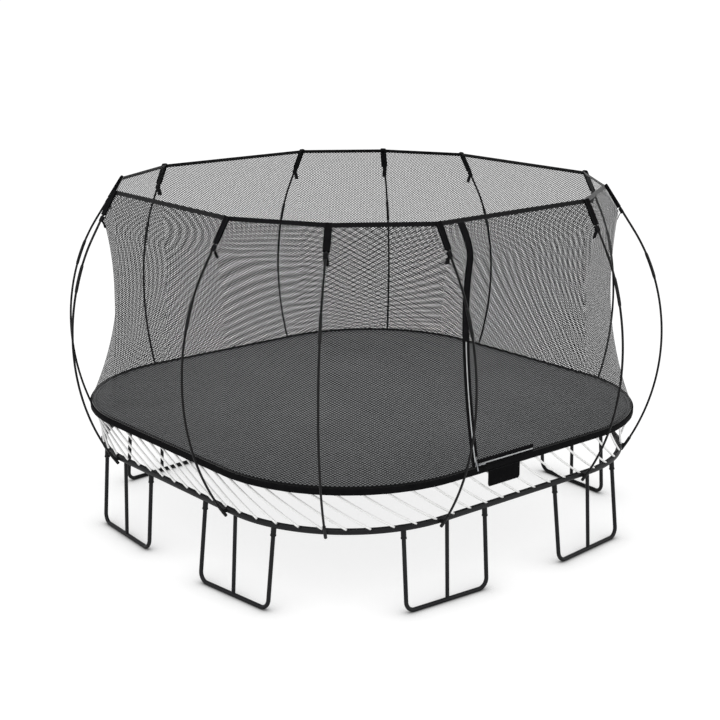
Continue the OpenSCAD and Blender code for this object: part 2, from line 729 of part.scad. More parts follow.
// Slider: a channel open towards the teeth, with a bail for its pull, drawn upright
slider = [16, 9, 24];
slider_clear = 0.5;
bail_d = 3;
bail_at = [0, -slider.y - 3.8, 5.5];
module slider_body(teeth_out) {
    gap = teeth_w + 2 * slider_clear;
    difference() {
        translate([-slider.x / 2, -slider.y, -slider.z / 2])
            cube([slider.x, slider.y - teeth_out[0] - slider_clear, slider.z]);
        translate([-gap / 2, -teeth_out[1] - slider_clear, -slider.z / 2 - 1])
            cube([gap, teeth_out[1] + 1, slider.z + 2]);
    }
    for (x = [-5.5, 3.5]) translate([x, bail_at.y - 1.8, 3]) cube([2, 6.1, 5]);
    translate([-5.5, bail_at.y, bail_at.z]) rotate([0, 90, 0]) cylinder(h = 11, d = bail_d, $fn = 24);
}

// Pull tab with an eye round the bail, hanging straight down from it
pull_len = 52;
module pull_tab() {
    difference() {
        union() {
            rotate([0, 90, 0]) cylinder(h = 5.6, d = 6.4, center = true, $fn = 32);
            translate([-2.8, -3.2, -pull_len]) cube([5.6, 2, pull_len]);
            translate([-5, -3.2, -pull_len]) cube([10, 2, 24]);
        }
        rotate([0, 90, 0]) cylinder(h = 8, d = bail_d + 0.1, center = true, $fn = 32);
    }
}

// Height of the closed slider along the upright zip
zip_rest = 20;

module zip_slider() {
    color("#8e9092") at_zip(zip_rest) slider_body([2.2, 3.4]);
}

zip_bail = let (c = arc_centre(zip_p, zip_q, zip_in, zip_sag),
    o = arc_point(zip_p, zip_q, zip_in, zip_sag, zip_rest), w = unit(o - c))
    o + w * bail_at.y + cross(zip_n, w) * bail_at.z;

// The pull hangs over the mat's edge, so it leans outwards
module zip_pull() {
    color("#85878a") translate(zip_bail) rotate([-14, -atan2(zip_n.z, zip_n.x), 0]) pull_tab();
}

// The level zip's slider lies on its side, with its pull trailing away from the corner
hem_rest = [hem_x0 + slider.x / 2 + 3 + slider.z / 2, hem_y + 2, hem_teeth_z];

module at_hem_slider() {
    translate(hem_rest) rotate([0, -90, 0]) children();
}

module hem_slider() {
    color("#8e9092") at_hem_slider() slider_body([2, 3.5]);
}

module hem_pull() {
    color("#85878a") at_hem_slider() translate(bail_at) pull_tab();
}

frame_side(0);  // frame_side_front
frame_side(1);  // frame_side_right
frame_side(2);  // frame_side_back
frame_side(3);  // frame_side_left
frame_corner(0);  // frame_corner_front_right
frame_corner(1);  // frame_corner_right_back
frame_corner(2);  // frame_corner_back_left
frame_corner(3);  // frame_corner_left_front
frame_spigots();
leg(0, 0);  // leg_front_a
leg(0, 1);  // leg_front_b
leg(1, 0);  // leg_right_a
leg(1, 1);  // leg_right_b
leg(2, 0);  // leg_back_a
leg(2, 1);  // leg_back_b
leg(3, 0);  // leg_left_a
leg(3, 1);  // leg_left_b
leg_sockets();
leg_collars();
mat_rod_sockets();
mat_rods(0);  // mat_rods_front
mat_rods(1);  // mat_rods_right
mat_rods(2);  // mat_rods_back
mat_rods(3);  // mat_rods_left
mat_rod_pockets();
jump_mat();
mat_border();
label_patch();
net_rods(0);  // net_rods_front
net_rods(1);  // net_rods_right
net_rods(2);  // net_rods_back
net_rods(3);  // net_rods_left
net_rod_sockets();
net_rod_ferrules();
net_rod_sleeves();
net_rod_straps();
net_top_band();
net_front_strip();
net_front_door();
net_wall(1, 4);  // net_front_corner_a
net_wall(2, 4);  // net_front_corner_b
net_wall(3, 6);  // net_right_wall
net_wall(4, 4);  // net_right_corner_a
net_wall(5, 4);  // net_right_corner_b
net_wall(6, 6);  // net_back_wall
net_wall(7, 4);  // net_back_corner_a
net_wall(8, 4);  // net_back_corner_b
net_wall(9, 6);  // net_left_wall
net_wall(10, 4);  // net_left_corner_a
net_wall(11, 4);  // net_left_corner_b
zip_tape_fixed();
zip_tape_door();
zip_teeth();
zip_cover();
hem_tape();
hem_teeth();
zip_slider();
zip_pull();
hem_slider();
hem_pull();
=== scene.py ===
import math
from functools import partial
import bmesh
import bpy
import numpy as np
from numpy.linalg import norm
from mathutils import Matrix, Vector


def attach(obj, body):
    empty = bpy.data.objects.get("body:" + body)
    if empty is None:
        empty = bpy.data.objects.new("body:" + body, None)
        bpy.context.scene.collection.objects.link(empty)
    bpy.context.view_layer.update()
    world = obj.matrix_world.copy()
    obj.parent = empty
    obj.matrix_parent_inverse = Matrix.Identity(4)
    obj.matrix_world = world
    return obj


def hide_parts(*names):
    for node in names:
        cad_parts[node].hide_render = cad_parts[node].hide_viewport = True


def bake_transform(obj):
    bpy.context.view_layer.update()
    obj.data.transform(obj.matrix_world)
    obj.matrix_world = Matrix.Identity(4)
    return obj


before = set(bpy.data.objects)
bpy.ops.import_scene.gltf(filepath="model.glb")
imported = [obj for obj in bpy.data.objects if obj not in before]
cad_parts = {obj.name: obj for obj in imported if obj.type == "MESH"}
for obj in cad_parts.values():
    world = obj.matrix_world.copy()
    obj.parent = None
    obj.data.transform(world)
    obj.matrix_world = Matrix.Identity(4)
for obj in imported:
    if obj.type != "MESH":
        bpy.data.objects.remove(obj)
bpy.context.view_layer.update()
scene = bpy.context.scene
scene.view_settings.view_transform = "Standard"
print("frame loaded:", len(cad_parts), "CAD nodes")

# Lengths are in metres. The ring is the rounded square of the frame's centreline, in four equal quarters: s
# runs counter-clockwise round it from the middle of the door side, and out is a step outwards
ring = {"sideHalf": 0.670, "cornerRadius": 0.942}
quarter = 2 * ring["sideHalf"] + ring["cornerRadius"] * math.pi / 2
sideNames = ("front", "right", "back", "left")
mat = {"topZ": 0.875, "edgeOut": 0.088, "thickness": 0.002, "sag": 0.003}


# Coordinates of different shapes, spread over one grid
def spread(*coordinates):
    return np.stack(np.broadcast_arrays(*coordinates), -1)


# Where s is on the ring: sides passed, the rest of the way along this one, and the bend inside the corner
def ringParts(s):
    side = np.floor((s + ring["sideHalf"]) / quarter)
    rest = s - side * quarter
    return side, rest, np.maximum(0, (rest - ring["sideHalf"]) / ring["cornerRadius"])


# Point of the ring: along the straight side, then round the corner's circle of radius cornerRadius + out, all
# turned by a quarter for each side passed
def ringAt(s, out):
    s, out = np.broadcast_arrays(np.asarray(s, float), np.asarray(out, float))
    side, rest, bend = ringParts(s)
    reach = ring["cornerRadius"] + out
    x = np.minimum(rest, ring["sideHalf"]) + reach * np.sin(bend)
    y = -ring["sideHalf"] - reach * np.cos(bend)
    turn = side * math.pi / 2
    return spread(x * np.cos(turn) - y * np.sin(turn), x * np.sin(turn) + y * np.cos(turn))


# Level unit vector that points outwards at s: turned by a quarter for each side passed, and by the bend
def outward(s):
    side, _, bend = ringParts(np.asarray(s, float))
    turn = side * math.pi / 2 + bend - math.pi / 2
    return spread(np.cos(turn), np.sin(turn))


def ringPoint(s, out, z):
    flat = ringAt(s, out)
    return spread(flat[..., 0], flat[..., 1], z)


# Places at equal distances all round the ring
def placesRound(count):
    return np.arange(count) * 4 * quarter / count


def addObject(name, data):
    added = bpy.data.objects.new(name, data)
    scene.collection.objects.link(added)
    return added


# Puts a grid of points (rows, columns, 3) into a mesh of quads; a closed grid joins its last row or column to
# the first. uv is a grid of lengths, laid face by face so that it doesn't run backwards across such a joint:
# uvSpan is what a whole turn of the rows adds to U and of the columns to V
def gridMesh(name, points, closeRows=False, closeColumns=False, uv=None, uvSpan=(0, 0), flip=False,
             smooth=True):
    rows, columns = points.shape[:2]
    i = np.arange(rows if closeRows else rows - 1)
    j = np.arange(columns if closeColumns else columns - 1)
    i, j = (a.ravel() for a in np.meshgrid(i, j, indexing="ij"))
    corners = [(i, j), (i, j + 1), (i + 1, j + 1), (i + 1, j)]
    if flip:
        corners = corners[::-1]
    quads = np.stack([(a % rows) * columns + b % columns for a, b in corners], -1)
    mesh = bpy.data.meshes.new(name)
    mesh.vertices.add(rows * columns)
    mesh.vertices.foreach_set("co", points.reshape(-1).astype(np.float32))
    mesh.loops.add(quads.size)
    mesh.loops.foreach_set("vertex_index", quads.reshape(-1).astype(np.int32))
    mesh.polygons.add(len(quads))
    mesh.polygons.foreach_set("loop_start", np.arange(0, quads.size, 4, dtype=np.int32))
    mesh.update(calc_edges=True)
    mesh.polygons.foreach_set("use_smooth", np.full(len(quads), smooth))
    if uv is not None:
        laid = np.stack([uv[a % rows, b % columns] + np.outer(a >= rows, (uvSpan[0], 0))
                         + np.outer(b >= columns, (0, uvSpan[1])) for a, b in corners], 1)
        mesh.uv_layers.new(name="UVMap").data.foreach_set("uv", laid.reshape(-1).astype(np.float32))
    return addObject(name, mesh)


# Several meshes made one, with points closer than merge made one too
def joinPieces(name, parts, merge=0.0):
    whole = bmesh.new()
    for part in parts:
        whole.from_mesh(part.data)
        bpy.data.objects.remove(part)
    if merge:
        bmesh.ops.remove_doubles(whole, verts=whole.verts, dist=merge)
    mesh = bpy.data.meshes.new(name)
    whole.to_mesh(mesh)
    whole.free()
    return addObject(name, mesh)


def unit(vector):
    return vector / norm(vector)


# Lengths along a line of points, from its start
def runLength(points):
    return np.r_[[0], np.cumsum(norm(np.diff(points, axis=0), axis=1))]


# Normals and binormals along a path without a twist: each normal is the last less its part along the path
def pathFrames(path, firstNormal):
    tangents = np.gradient(path, axis=0)
    tangents /= norm(tangents, axis=1)[:, None]
    normals = np.empty_like(tangents)
    normal = np.asarray(firstNormal, float)
    for n, tangent in enumerate(tangents):
        normals[n] = normal = unit(normal - normal @ tangent * tangent)
    return normals, np.cross(tangents, normals)


# Profile (points, 2) carried along a path: each point goes a step along the normal and one along the binormal
def sweepGrid(path, profile, firstNormal):
    normals, sideways = pathFrames(path, firstNormal)
    return path[:, None] + profile[None, :, :1] * normals[:, None] + profile[None, :, 1:] * sideways[:, None]


# Rows with the middles of the first and last as rows at the ends, which closed columns make into fans
def withEnds(grid):
    ends = [np.broadcast_to(grid[n:n + 1].mean(1, keepdims=True), grid[:1].shape) for n in (0, len(grid) - 1)]
    return np.r_[ends[0], grid, ends[1]]


# A closed profile swept along an open path, with a fan at each end
def sweepBar(name, path, profile, firstNormal):
    grid = withEnds(sweepGrid(path, profile, firstNormal))
    across = runLength(np.r_[profile, profile[:1]])
    uv = np.stack(np.meshgrid(runLength(path), across[:-1], indexing="ij"), -1)
    uv = np.r_[uv[:1], uv, uv[-1:]]
    return gridMesh(name, grid, closeColumns=True, uv=uv, uvSpan=(0, float(across[-1])), flip=True)


def circleProfile(radius, sides):
    angle = np.arange(sides) * 2 * math.pi / sides
    return radius * spread(np.cos(angle), np.sin(angle))


# Arc from p to q whose middle is moved by sag towards bulge: its radius is half the sag plus an eighth of the
# chord squared over the sag, and its points stand at equal angles
def arcPath(p, q, bulge, sag, steps):
    chord = q - p
    length = norm(chord)
    along = chord / length
    up = unit(bulge - bulge @ along * along)
    radius = (length ** 2 / 4 + sag ** 2) / (2 * sag)
    half = math.asin(length / 2 / radius)
    angle = np.linspace(-half, half, steps)[:, None]
    centre = (p + q) / 2 - up * (radius - sag)
    return centre + radius * (np.cos(angle) * up + np.sin(angle) * along)


def hexColour(text):
    parts = [int(text[n:n + 2], 16) / 255 for n in (1, 3, 5)]
    return [p / 12.92 if p <= 0.04045 else ((p + 0.055) / 1.055) ** 2.4 for p in parts] + [1.0]


# Gives a socket of a node a value or what feeds it: a socket, or the first output of a node
def feed(node, key, value):
    if isinstance(value, bpy.types.Node):
        value = value.outputs[0]
    if isinstance(value, bpy.types.NodeSocket):
        node.id_data.links.new(value, node.inputs[key])
    else:
        node.inputs[key].default_value = value


# Adds a node: its operation follows its kind, settings are its properties, and inputs go to its sockets in
# order or by name
def addNode(tree, kind, inputs=(), **settings):
    kind, _, operation = kind.partition(" ")
    node = tree.nodes.new("ShaderNode" + kind)
    if operation:
        node.operation = operation
    for key, value in settings.items():
        setattr(node, key, value)
    for key, value in inputs.items() if isinstance(inputs, dict) else enumerate(inputs):
        feed(node, key, value)
    return node


# A material's or the world's way to add nodes, with its tree cleared
def startNodes(owner):
    owner.use_nodes = True
    owner.node_tree.nodes.clear()
    return partial(addNode, owner.node_tree)


# A material, its way to add nodes and its shader, which has the values set on itself
def startMaterial(name, **values):
    material = bpy.data.materials.new(name)
    add = startNodes(material)
    shader = add("BsdfPrincipled")
    for key, value in values.items():
        feed(shader, key.replace("_", " "), value)
    add("OutputMaterial", {"Surface": shader})
    return material, add, shader


# Colour that wanders between two with a soft noise whose blotches are about size metres wide
def mottle(add, first, second, size, position, detail=3.0):
    noise = add("TexNoise", {"Vector": position, "Scale": 1 / size, "Detail": detail})
    ramp = add("ValToRGB", {"Fac": noise.outputs["Fac"]})
    low, high = ramp.color_ramp.elements
    low.position, high.position = 0.3, 0.7
    low.color, high.color = hexColour(first), hexColour(second)
    return ramp.outputs["Color"]


# Steel with a polyester powder coat, baked on: satin, with the faint orange peel of melted powder
powderCoat = {"specular": 0.15, "blotch": 0.25, "grain": 0.003, "detail": 1.0, "strength": 0.25,
              "relief": 0.0004}
# Moulded polypropylene: matt, with a fine spark-eroded grain of about half a millimetre, drawn at 2 mm
moulding = {"specular": 0.2, "blotch": 0.06, "grain": 0.002, "detail": 2.0, "strength": 0.3, "relief": 0.0002}


def grained(name, surface, first, second, roughness):
    material, add, shader = startMaterial(name, Roughness=roughness, Specular_IOR_Level=surface["specular"])
    position = add("TexCoord").outputs["Object"]
    feed(shader, "Base Color", mottle(add, first, second, surface["blotch"], position))
    grain = add("TexNoise", {"Vector": position, "Scale": 1 / surface["grain"], "Detail": surface["detail"]})
    feed(shader, "Normal", add("Bump", {"Height": grain.outputs["Fac"], "Strength": surface["strength"],
                                        "Distance": surface["relief"]}))
    return material


# Pultruded glass fibre with a smooth gel coat: glossy, with faint streaks from its fibres, 60 by 1 mm
def glassFibre(name, first, second, roughness, specular):
    material, add, shader = startMaterial(name, Roughness=roughness, Specular_IOR_Level=specular)
    uv = add("UVMap", uv_map="UVMap")
    stretched = add("Mapping", {"Vector": uv, "Scale": (1 / 0.06, 1 / 0.001, 1)})
    feed(shader, "Base Color", mottle(add, first, second, 1.0, stretched, 2.0))
    return material


# Polyester webbing: a flat herringbone weave. U runs along the band and V across it from its middle. The ribs
# are 2 mm apart in real webbing and 4 mm here, and a row of 5 mm lockstitches runs seam inside each edge
weave = {"rib": 0.004, "ribHeight": 0.35, "stitch": 0.005, "stitchShare": 0.75, "stitchHalf": 0.0007,
         "stitchColour": "#2c2d2e", "relief": 0.0004}


def webbing(name, first, second, halfWidth, seam=0.004, sheen=0.02, roughness=0.85):
    material, add, shader = startMaterial(name, Roughness=roughness, Specular_IOR_Level=0.02,
                                          Sheen_Weight=sheen, Sheen_Roughness=0.35)
    uv = add("UVMap", uv_map="UVMap")
    along, across = add("SeparateXYZ", [uv]).outputs[:2]
    fromMiddle = add("Math ABSOLUTE", [across])
    slant = add("Math ADD", [along, fromMiddle])
    rib = add("Math SINE", [add("Math MULTIPLY", [slant, 2 * math.pi / weave["rib"]])])
    seamLine = add("Math COMPARE", [fromMiddle, halfWidth - seam, weave["stitchHalf"]])
    stitchPart = add("Math FRACT", [add("Math DIVIDE", [along, weave["stitch"]])])
    dash = add("Math LESS_THAN", [stitchPart, weave["stitchShare"]])
    stitch = add("Math MULTIPLY", [seamLine, dash])
    cloth = mottle(add, first, second, 0.05, uv)
    thread = add("Mix", {"Factor": stitch, "A": cloth, "B": hexColour(weave["stitchColour"])},
                     data_type="RGBA")
    feed(shader, "Base Color", thread.outputs["Result"])
    height = add("Math ADD", [add("Math MULTIPLY", [rib, weave["ribHeight"]]), stitch])
    feed(shader, "Normal", add("Bump", {"Height": height, "Strength": 0.5, "Distance": weave["relief"]}))
    return material


# Knotless polyester netting: dark threads crossing in diamonds of 26.5 by 14.2 mm. Adding up the distances
# across both ways of the threads, each to a power, rounds a hole's corners. On the inner face the knit's loops
# stand up and narrow the holes
def netting(name, thread, cellWidth, cellHeight, holeOutside, holeInside, power=3.0):
    material, add, shader = startMaterial(name, Base_Color=hexColour(thread), Roughness=0.75,
                                          Specular_IOR_Level=0.1, Sheen_Weight=0.12, Sheen_Roughness=0.3)
    uv = add("UVMap", uv_map="UVMap")
    u, v = add("SeparateXYZ", [uv]).outputs[:2]
    across = add("Math DIVIDE", [u, cellWidth])
    up = add("Math DIVIDE", [v, cellHeight])
    bent = []
    for operation in ("ADD", "SUBTRACT"):
        place = add("Math FRACT", [add("Math " + operation, [across, up])])
        distance = add("Math ABSOLUTE", [add("Math SUBTRACT", [place, 0.5])])
        bent.append(add("Math POWER", [distance, power]))
    distance = add("Math POWER", [add("Math ADD", bent), 1 / power])
    inner = add("NewGeometry").outputs["Backfacing"]
    hole = add("Math MULTIPLY_ADD", [inner, holeInside - holeOutside, holeOutside])
    feed(shader, "Alpha", add("Math GREATER_THAN", [distance, hole]))
    return material


# Woven polypropylene jumping fabric: flat tapes over and under each other, 1.5 mm wide in a real one and 5 mm
# here. A hem of it has a dark line where V is seamAt: its row of stitching, darkened too with painted shade of
# the hem's raw edge
tapes = {"shade": 0.08, "gapShadeColour": "#202122", "seamHalf": 0.0018, "seamAndShadeColour": "#141415", "relief": 0.0004}


def jumpFabric(name, first, second, thread, seamAt=None):
    material, add, shader = startMaterial(name, Roughness=0.7)
    position = add("TexCoord").outputs["Object"]
    ribs = []
    for across in add("SeparateXYZ", [position]).outputs[:2]:
        ribs.append(add("Math SINE", [add("Math MULTIPLY", [across, 2 * math.pi / thread])]))
    woven = add("Math MULTIPLY", ribs)
    cloth = mottle(add, first, second, 0.6, position)
    # Painted shade between the tapes: the weave draws the cloth towards a near-black by up to twice the shade
    # share
    gap = add("Math MULTIPLY_ADD", [woven, tapes["shade"], tapes["shade"]])
    shade = add("Mix", {"Factor": gap, "A": cloth, "B": hexColour(tapes["gapShadeColour"])},
                    data_type="RGBA")
    if seamAt:
        uv = add("UVMap", uv_map="UVMap")
        v = add("SeparateXYZ", [uv]).outputs[1]
        # The hem's dark line: real stitching, with painted shade of the raw edge in its darkness
        stitched = add("Math COMPARE", [v, seamAt, tapes["seamHalf"]])
        shade = add("Mix", {"Factor": stitched, "A": shade.outputs["Result"],
                                          "B": hexColour(tapes["seamAndShadeColour"])}, data_type="RGBA")
    feed(shader, "Base Color", shade.outputs["Result"])
    feed(shader, "Normal", add("Bump", {"Height": woven, "Strength": 0.4, "Distance": tapes["relief"]}))
    return material


# Plain metal: brushed along one way, with the brushing drawn by a noise 1 mm wide stretched 40 to 1
def brushedMetal(name, first, second, roughness):
    material, add, shader = startMaterial(name, Roughness=roughness, Metallic=1.0)
    position = add("TexCoord").outputs["Object"]
    stretched = add("Mapping", {"Vector": position, "Scale": (1 / 0.001, 1 / 0.001, 1 / 0.04)})
    feed(shader, "Base Color", mottle(add, first, second, 1.0, stretched, 2.0))
    return material


finish = {
    "frameCoat": grained("powderCoatedFrameTube", powderCoat, "#18181a", "#1f2021", 0.45),
    "legCoat": grained("powderCoatedLegTube", powderCoat, "#17171a", "#1e1f20", 0.45),
    "socketCoat": grained("powderCoatedSocket", powderCoat, "#161617", "#1c1d1e", 0.5),
    "collar": grained("mouldedPolypropyleneCollar", moulding, "#111112", "#171718", 0.6),
    "pocket": grained("mouldedNylonRodEnd", moulding, "#131314", "#19191a", 0.6),
    "ferrule": grained("heatShrunkFerruleSleeve", moulding, "#0c0c0d", "#121213", 0.5),
    "whiteRod": glassFibre("gelCoatedWhiteGlassFibre", "#fdfdfc", "#f8f8f7", 0.35, 0.5),
    "blackRod": glassFibre("gelCoatedBlackGlassFibre", "#0e0e0f", "#151516", 0.4, 0.15),
    "matCloth": jumpFabric("wovenPolypropyleneMat", "#848586", "#8e8f90", 0.005),
    "matHem": jumpFabric("hemmedPolypropyleneMat", "#848586", "#8e8f90", 0.005, 0.004),
    "border": webbing("polyesterEdgeWebbing", "#0e0e0f", "#141415", 0.0282),
    "band": webbing("polyesterTopWebbing", "#101011", "#161617", 0.015, sheen=0.5),
    "sleeve": webbing("paddedPolyesterSleeve", "#0d0d0e", "#131314", 0.024),
    "strap": webbing("polyesterStrapWebbing", "#171718", "#1d1d1e", 0.017),
    "cover": webbing("polyesterZipCover", "#101011", "#161617", 0.029),
    "tape": webbing("wovenZipTape", "#0d0d0e", "#131314", 0.029, 0.005),
    "netCloth": netting("knittedPolyesterNet", "#1a1b1c", 0.0265, 0.0142, 0.375, 0.332),
    "coil": grained("nylonZipCoil", moulding, "#d4d6d7", "#e2e4e5", 0.45),
    "castZinc": brushedMetal("castZincSlider", "#8c8e90", "#9c9ea0", 0.35),
    "pressedSteel": brushedMetal("pressedSteelTab", "#85878a", "#96989b", 0.3),
    "insertSteel": brushedMetal("zincPlatedSteelTube", "#8a8d90", "#9b9ea1", 0.35),
    "patch": webbing("wovenSatinPatch", "#060607", "#0b0b0c", 0.055, roughness=0.6),
}
print("materials made:", len(finish))


def dressNode(node, material):
    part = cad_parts[node]
    part.data.materials.clear()
    part.data.materials.append(finish[material])


# Gives a piece its finish, hides the nodes it stands for, and fixes it to its body; the slot is not used. Pieces
# of the net and its zip (stretch) and of the mat rods (flex) are only baked where they stand
def addPiece(piece, material, slot, body, *nodes):
    piece.data.materials.append(finish[material])
    if nodes:
        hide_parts(*nodes)
    if body == "stretch":
        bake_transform(piece)
    elif body == "flex":
        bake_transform(piece)
    else:
        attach(piece, body)


# A thickness given to a sheet: side is 1 for outwards and -1 for inwards
def thicken(piece, thickness, side):
    solid = piece.modifiers.new("Thickness", "SOLIDIFY")
    solid.thickness, solid.offset = thickness, side


# Measures the flat cut of a stretched cloth from its grid: its longest row and column, and its true area;
# nothing uses them
def declareCloth(grid):
    width, height = (float(norm(np.diff(grid, axis=way), axis=2).sum(way).max()) for way in (1, 0))
    a, b = grid[1:, 1:] - grid[:-1, :-1], grid[1:, :-1] - grid[:-1, 1:]
    area = float(norm(np.cross(a, b), axis=2).sum() / 2)


# Steelwork: the CAD tubes and fittings with their coats
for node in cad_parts:
    if node.startswith(("frame_side", "frame_corner")):
        dressNode(node, "frameCoat")
    elif node.startswith("leg_") and node not in ("leg_sockets", "leg_collars"):
        dressNode(node, "legCoat")
for node, material in {"frame_spigots": "insertSteel", "leg_sockets": "socketCoat", "leg_collars": "collar",
                       "mat_rod_pockets": "pocket", "net_rod_sockets": "socketCoat",
                       "zip_slider": "castZinc", "hem_slider": "castZinc",
                       "zip_pull": "pressedSteel", "hem_pull": "pressedSteel"}.items():
    dressNode(node, material)
print("steelwork dressed")

# Mat rods: 76 white rods that lean back round the ring
matRod = {"perSide": 19, "radius": 0.0075, "phase": -0.020, "reach": 0.370, "sag": 0.008, "mouthOut": 0.010,
          "mouthZ": 0.599, "depth": 0.0397, "landOut": 0.070, "landZ": 0.852, "steps": 14, "sides": 12,
          "leaveSteps": 40, "halvings": 16}
rodCup = {"radius": 0.011, "bore": 0.008, "floor": 0.0047, "rise": 0.0083, "bevel": 0.001, "sides": 24}


# Where a rod meets the mat's edge: the place behind its cup at the rod's reach from it, found by halving
def matRodTop(s):
    cup = ringAt(s, matRod["mouthOut"])
    near, far = s - matRod["reach"] / 2, s - matRod["reach"] * 1.5
    for _ in range(matRod["halvings"]):
        middle = (near + far) / 2
        short = norm(ringAt(middle, matRod["landOut"]) - cup) < matRod["reach"]
        near, far = (middle, far) if short else (near, middle)
    return ringPoint((near + far) / 2, matRod["landOut"], matRod["landZ"])


# A round piece: profile is its radius and height along an axis, from the foot's middle to the middle inside
def turnedPiece(name, base, axis, profile, sides):
    side = unit(np.cross(axis, (0.0, 0.0, 1.0)))
    circle = circleProfile(1.0, sides)
    rim = circle[:, :1] * side + circle[:, 1:] * np.cross(axis, side)
    points = base + profile[:, :1, None] * rim[None] + profile[:, 1:, None] * axis
    return gridMesh(name, points, closeColumns=True)


down = np.array([0.0, 0.0, -1.0])
cups = []
cupProfile = np.array([(0, -rodCup["floor"]), (rodCup["radius"], -rodCup["floor"]),
                       (rodCup["radius"], rodCup["rise"] - rodCup["bevel"]),
                       (rodCup["radius"] - rodCup["bevel"], rodCup["rise"]),
                       (rodCup["bore"], rodCup["rise"]), (rodCup["bore"], 0), (0, 0)])
for side, sideName in enumerate(sideNames):
    rods = []
    for j in range(matRod["perSide"]):
        fromMiddle = (j - (matRod["perSide"] - 1) / 2) * quarter / matRod["perSide"]
        s = side * quarter + matRod["phase"] + fromMiddle
        cup, top = ringPoint(s, matRod["mouthOut"], matRod["mouthZ"]), matRodTop(s)
        hung = arcPath(cup, top, down, matRod["sag"], matRod["leaveSteps"])
        leave = unit(hung[1] - hung[0])
        foot = cup - leave * matRod["depth"]
        path = arcPath(foot, top, down, matRod["sag"], matRod["steps"])
        section = circleProfile(matRod["radius"], matRod["sides"])
        rods.append(sweepBar("rod", path, section, outward(s).tolist() + [0]))
        cups.append(turnedPiece("cup", foot, leave, cupProfile, rodCup["sides"]))
    rods = joinPieces("matRods" + sideName.capitalize(), rods)
    addPiece(rods, "whiteRod", "white_glass_fibre", "flex", "mat_rods_" + sideName)
# The cups are sunk in the tube, with only the edge of a rim clear of it
addPiece(joinPieces("matRodCups", cups), "socketCoat", "socket_paint", "frame", "mat_rod_sockets")
print("mat rods made")

# Jumping mat: one cloth, its weave square to the sides, ending inset inside the edge and drop below the top
cloth = {"round": 256, "inwards": 24, "inset": 0.006, "drop": 0.004, "merge": 1e-5}
place = placesRound(cloth["round"])
share = np.linspace(0, 1, cloth["inwards"] + 1)[:, None]
edge = ringAt(place, mat["edgeOut"] - cloth["inset"])
# The point a share t of the way from the middle to the edge hangs by sag times one less t squared
height = mat["topZ"] - cloth["drop"] - mat["sag"] * (1 - share[..., None] ** 2)
height = np.broadcast_to(height, (len(share), len(place), 1))
matGrid = np.concatenate([edge[None] * share[..., None], height], -1)
surface = gridMesh("matCloth", matGrid, closeColumns=True)
surface = joinPieces("matCloth", [surface], cloth["merge"])
thicken(surface, mat["thickness"], -1)
addPiece(surface, "matCloth", "mat_fabric", "mat", "jump_mat")


# A closed band round the ring, from its grid: U runs along it, by span in all, and V is given across it
def ringBand(name, grid, along, across, span=4 * quarter, **look):
    uv = spread(along[:, None], across[None])
    return gridMesh(name, grid, closeRows=True, closeColumns=True, uv=uv, uvSpan=(span, 0), **look)


# The border: flat webbing on the mat's edge, folded down over the rod ends as a skirt, which swells by a
# millimetre over each. Its crown is steps in from the edge with their rise, and its skirt goes down by drops
border = {"width": 0.020, "crown": ((0.015, 0.0006), (0.009, 0.0004)), "bend": 0.004, "bendSteps": 5,
          "bendFrom": 0.2, "drops": (0.012, 0.024, 0.038), "thickness": 0.003, "foldThickness": 0.001,
          "round": 640, "swell": 0.0012, "swellFrom": 0.006, "swellOver": 0.03}
place = placesRound(border["round"])
edgeOut, top = mat["edgeOut"], mat["topZ"]
outer = [(edgeOut - border["width"], top)] + [(edgeOut - step, top + rise) for step, rise in border["crown"]]
outer.append((edgeOut - border["bend"], top))
for angle in np.linspace(border["bendFrom"], math.pi / 2, border["bendSteps"]):
    outer.append((edgeOut - border["bend"] * (1 - math.sin(angle)),
                  top - border["bend"] * (1 - math.cos(angle))))
outer = np.array(outer + [(edgeOut, top - drop) for drop in border["drops"]])
inner = outer.copy()
inner[:, 0] -= np.interp(outer[:, 1], [top - 0.02, top - 0.004],
                         [border["thickness"], border["foldThickness"]])
inner[:, 1] -= np.interp(outer[:, 0], [edgeOut - 0.01, edgeOut], [border["thickness"], 0])
profile = np.r_[outer, inner[::-1]]
rodWave = 0.5 + 0.5 * np.cos((place - matRod["phase"]) * 2 * math.pi * matRod["perSide"] / quarter)
low = np.clip((top - border["swellFrom"] - profile[:, 1]) / border["swellOver"], 0, 1)
outs = profile[None, :, 0] - border["swell"] * (1 - rodWave[:, None]) * low[None]
grid = ringPoint(place[:, None], outs, profile[None, :, 1])
width = runLength(outer)
width = np.r_[width, width[::-1]] - width[-1] / 2
edging = ringBand("matBorder", grid, place, width, flip=True)
addPiece(edging, "border", "border_webbing", "mat", "mat_border")
float(runLength(outer)[-1])

# The mat's hem: its cloth folded back on top, from the border to the seam. V runs out from its inner edge
matHem = {"width": 0.045, "foot": 0.0032, "gap": 0.0003}
inside, outside = edgeOut - matHem["width"], edgeOut - border["width"] - matHem["gap"]
outer = np.array([(inside, top - 0.003), (inside + 0.0006, top - 0.0014), (inside + 0.003, top - 0.0008),
                  (inside + 0.006, top - 0.0004), (outside - 0.006, top - 0.0004), (outside, top - 0.0006)])
under = spread(outer[::-1, 0], top - matHem["foot"])
profile = np.r_[outer, under[:-1]]
grid = ringPoint(place[:, None], profile[None, :, 0], profile[None, :, 1])
width = runLength(outer)
width = np.r_[width, width[:0:-1]]
hemRing = ringBand("matHem", grid, place, width, flip=True)
addPiece(hemRing, "matHem", "mat_fabric", "mat")
float(runLength(outer)[-1])
print("mat, hem and border made")

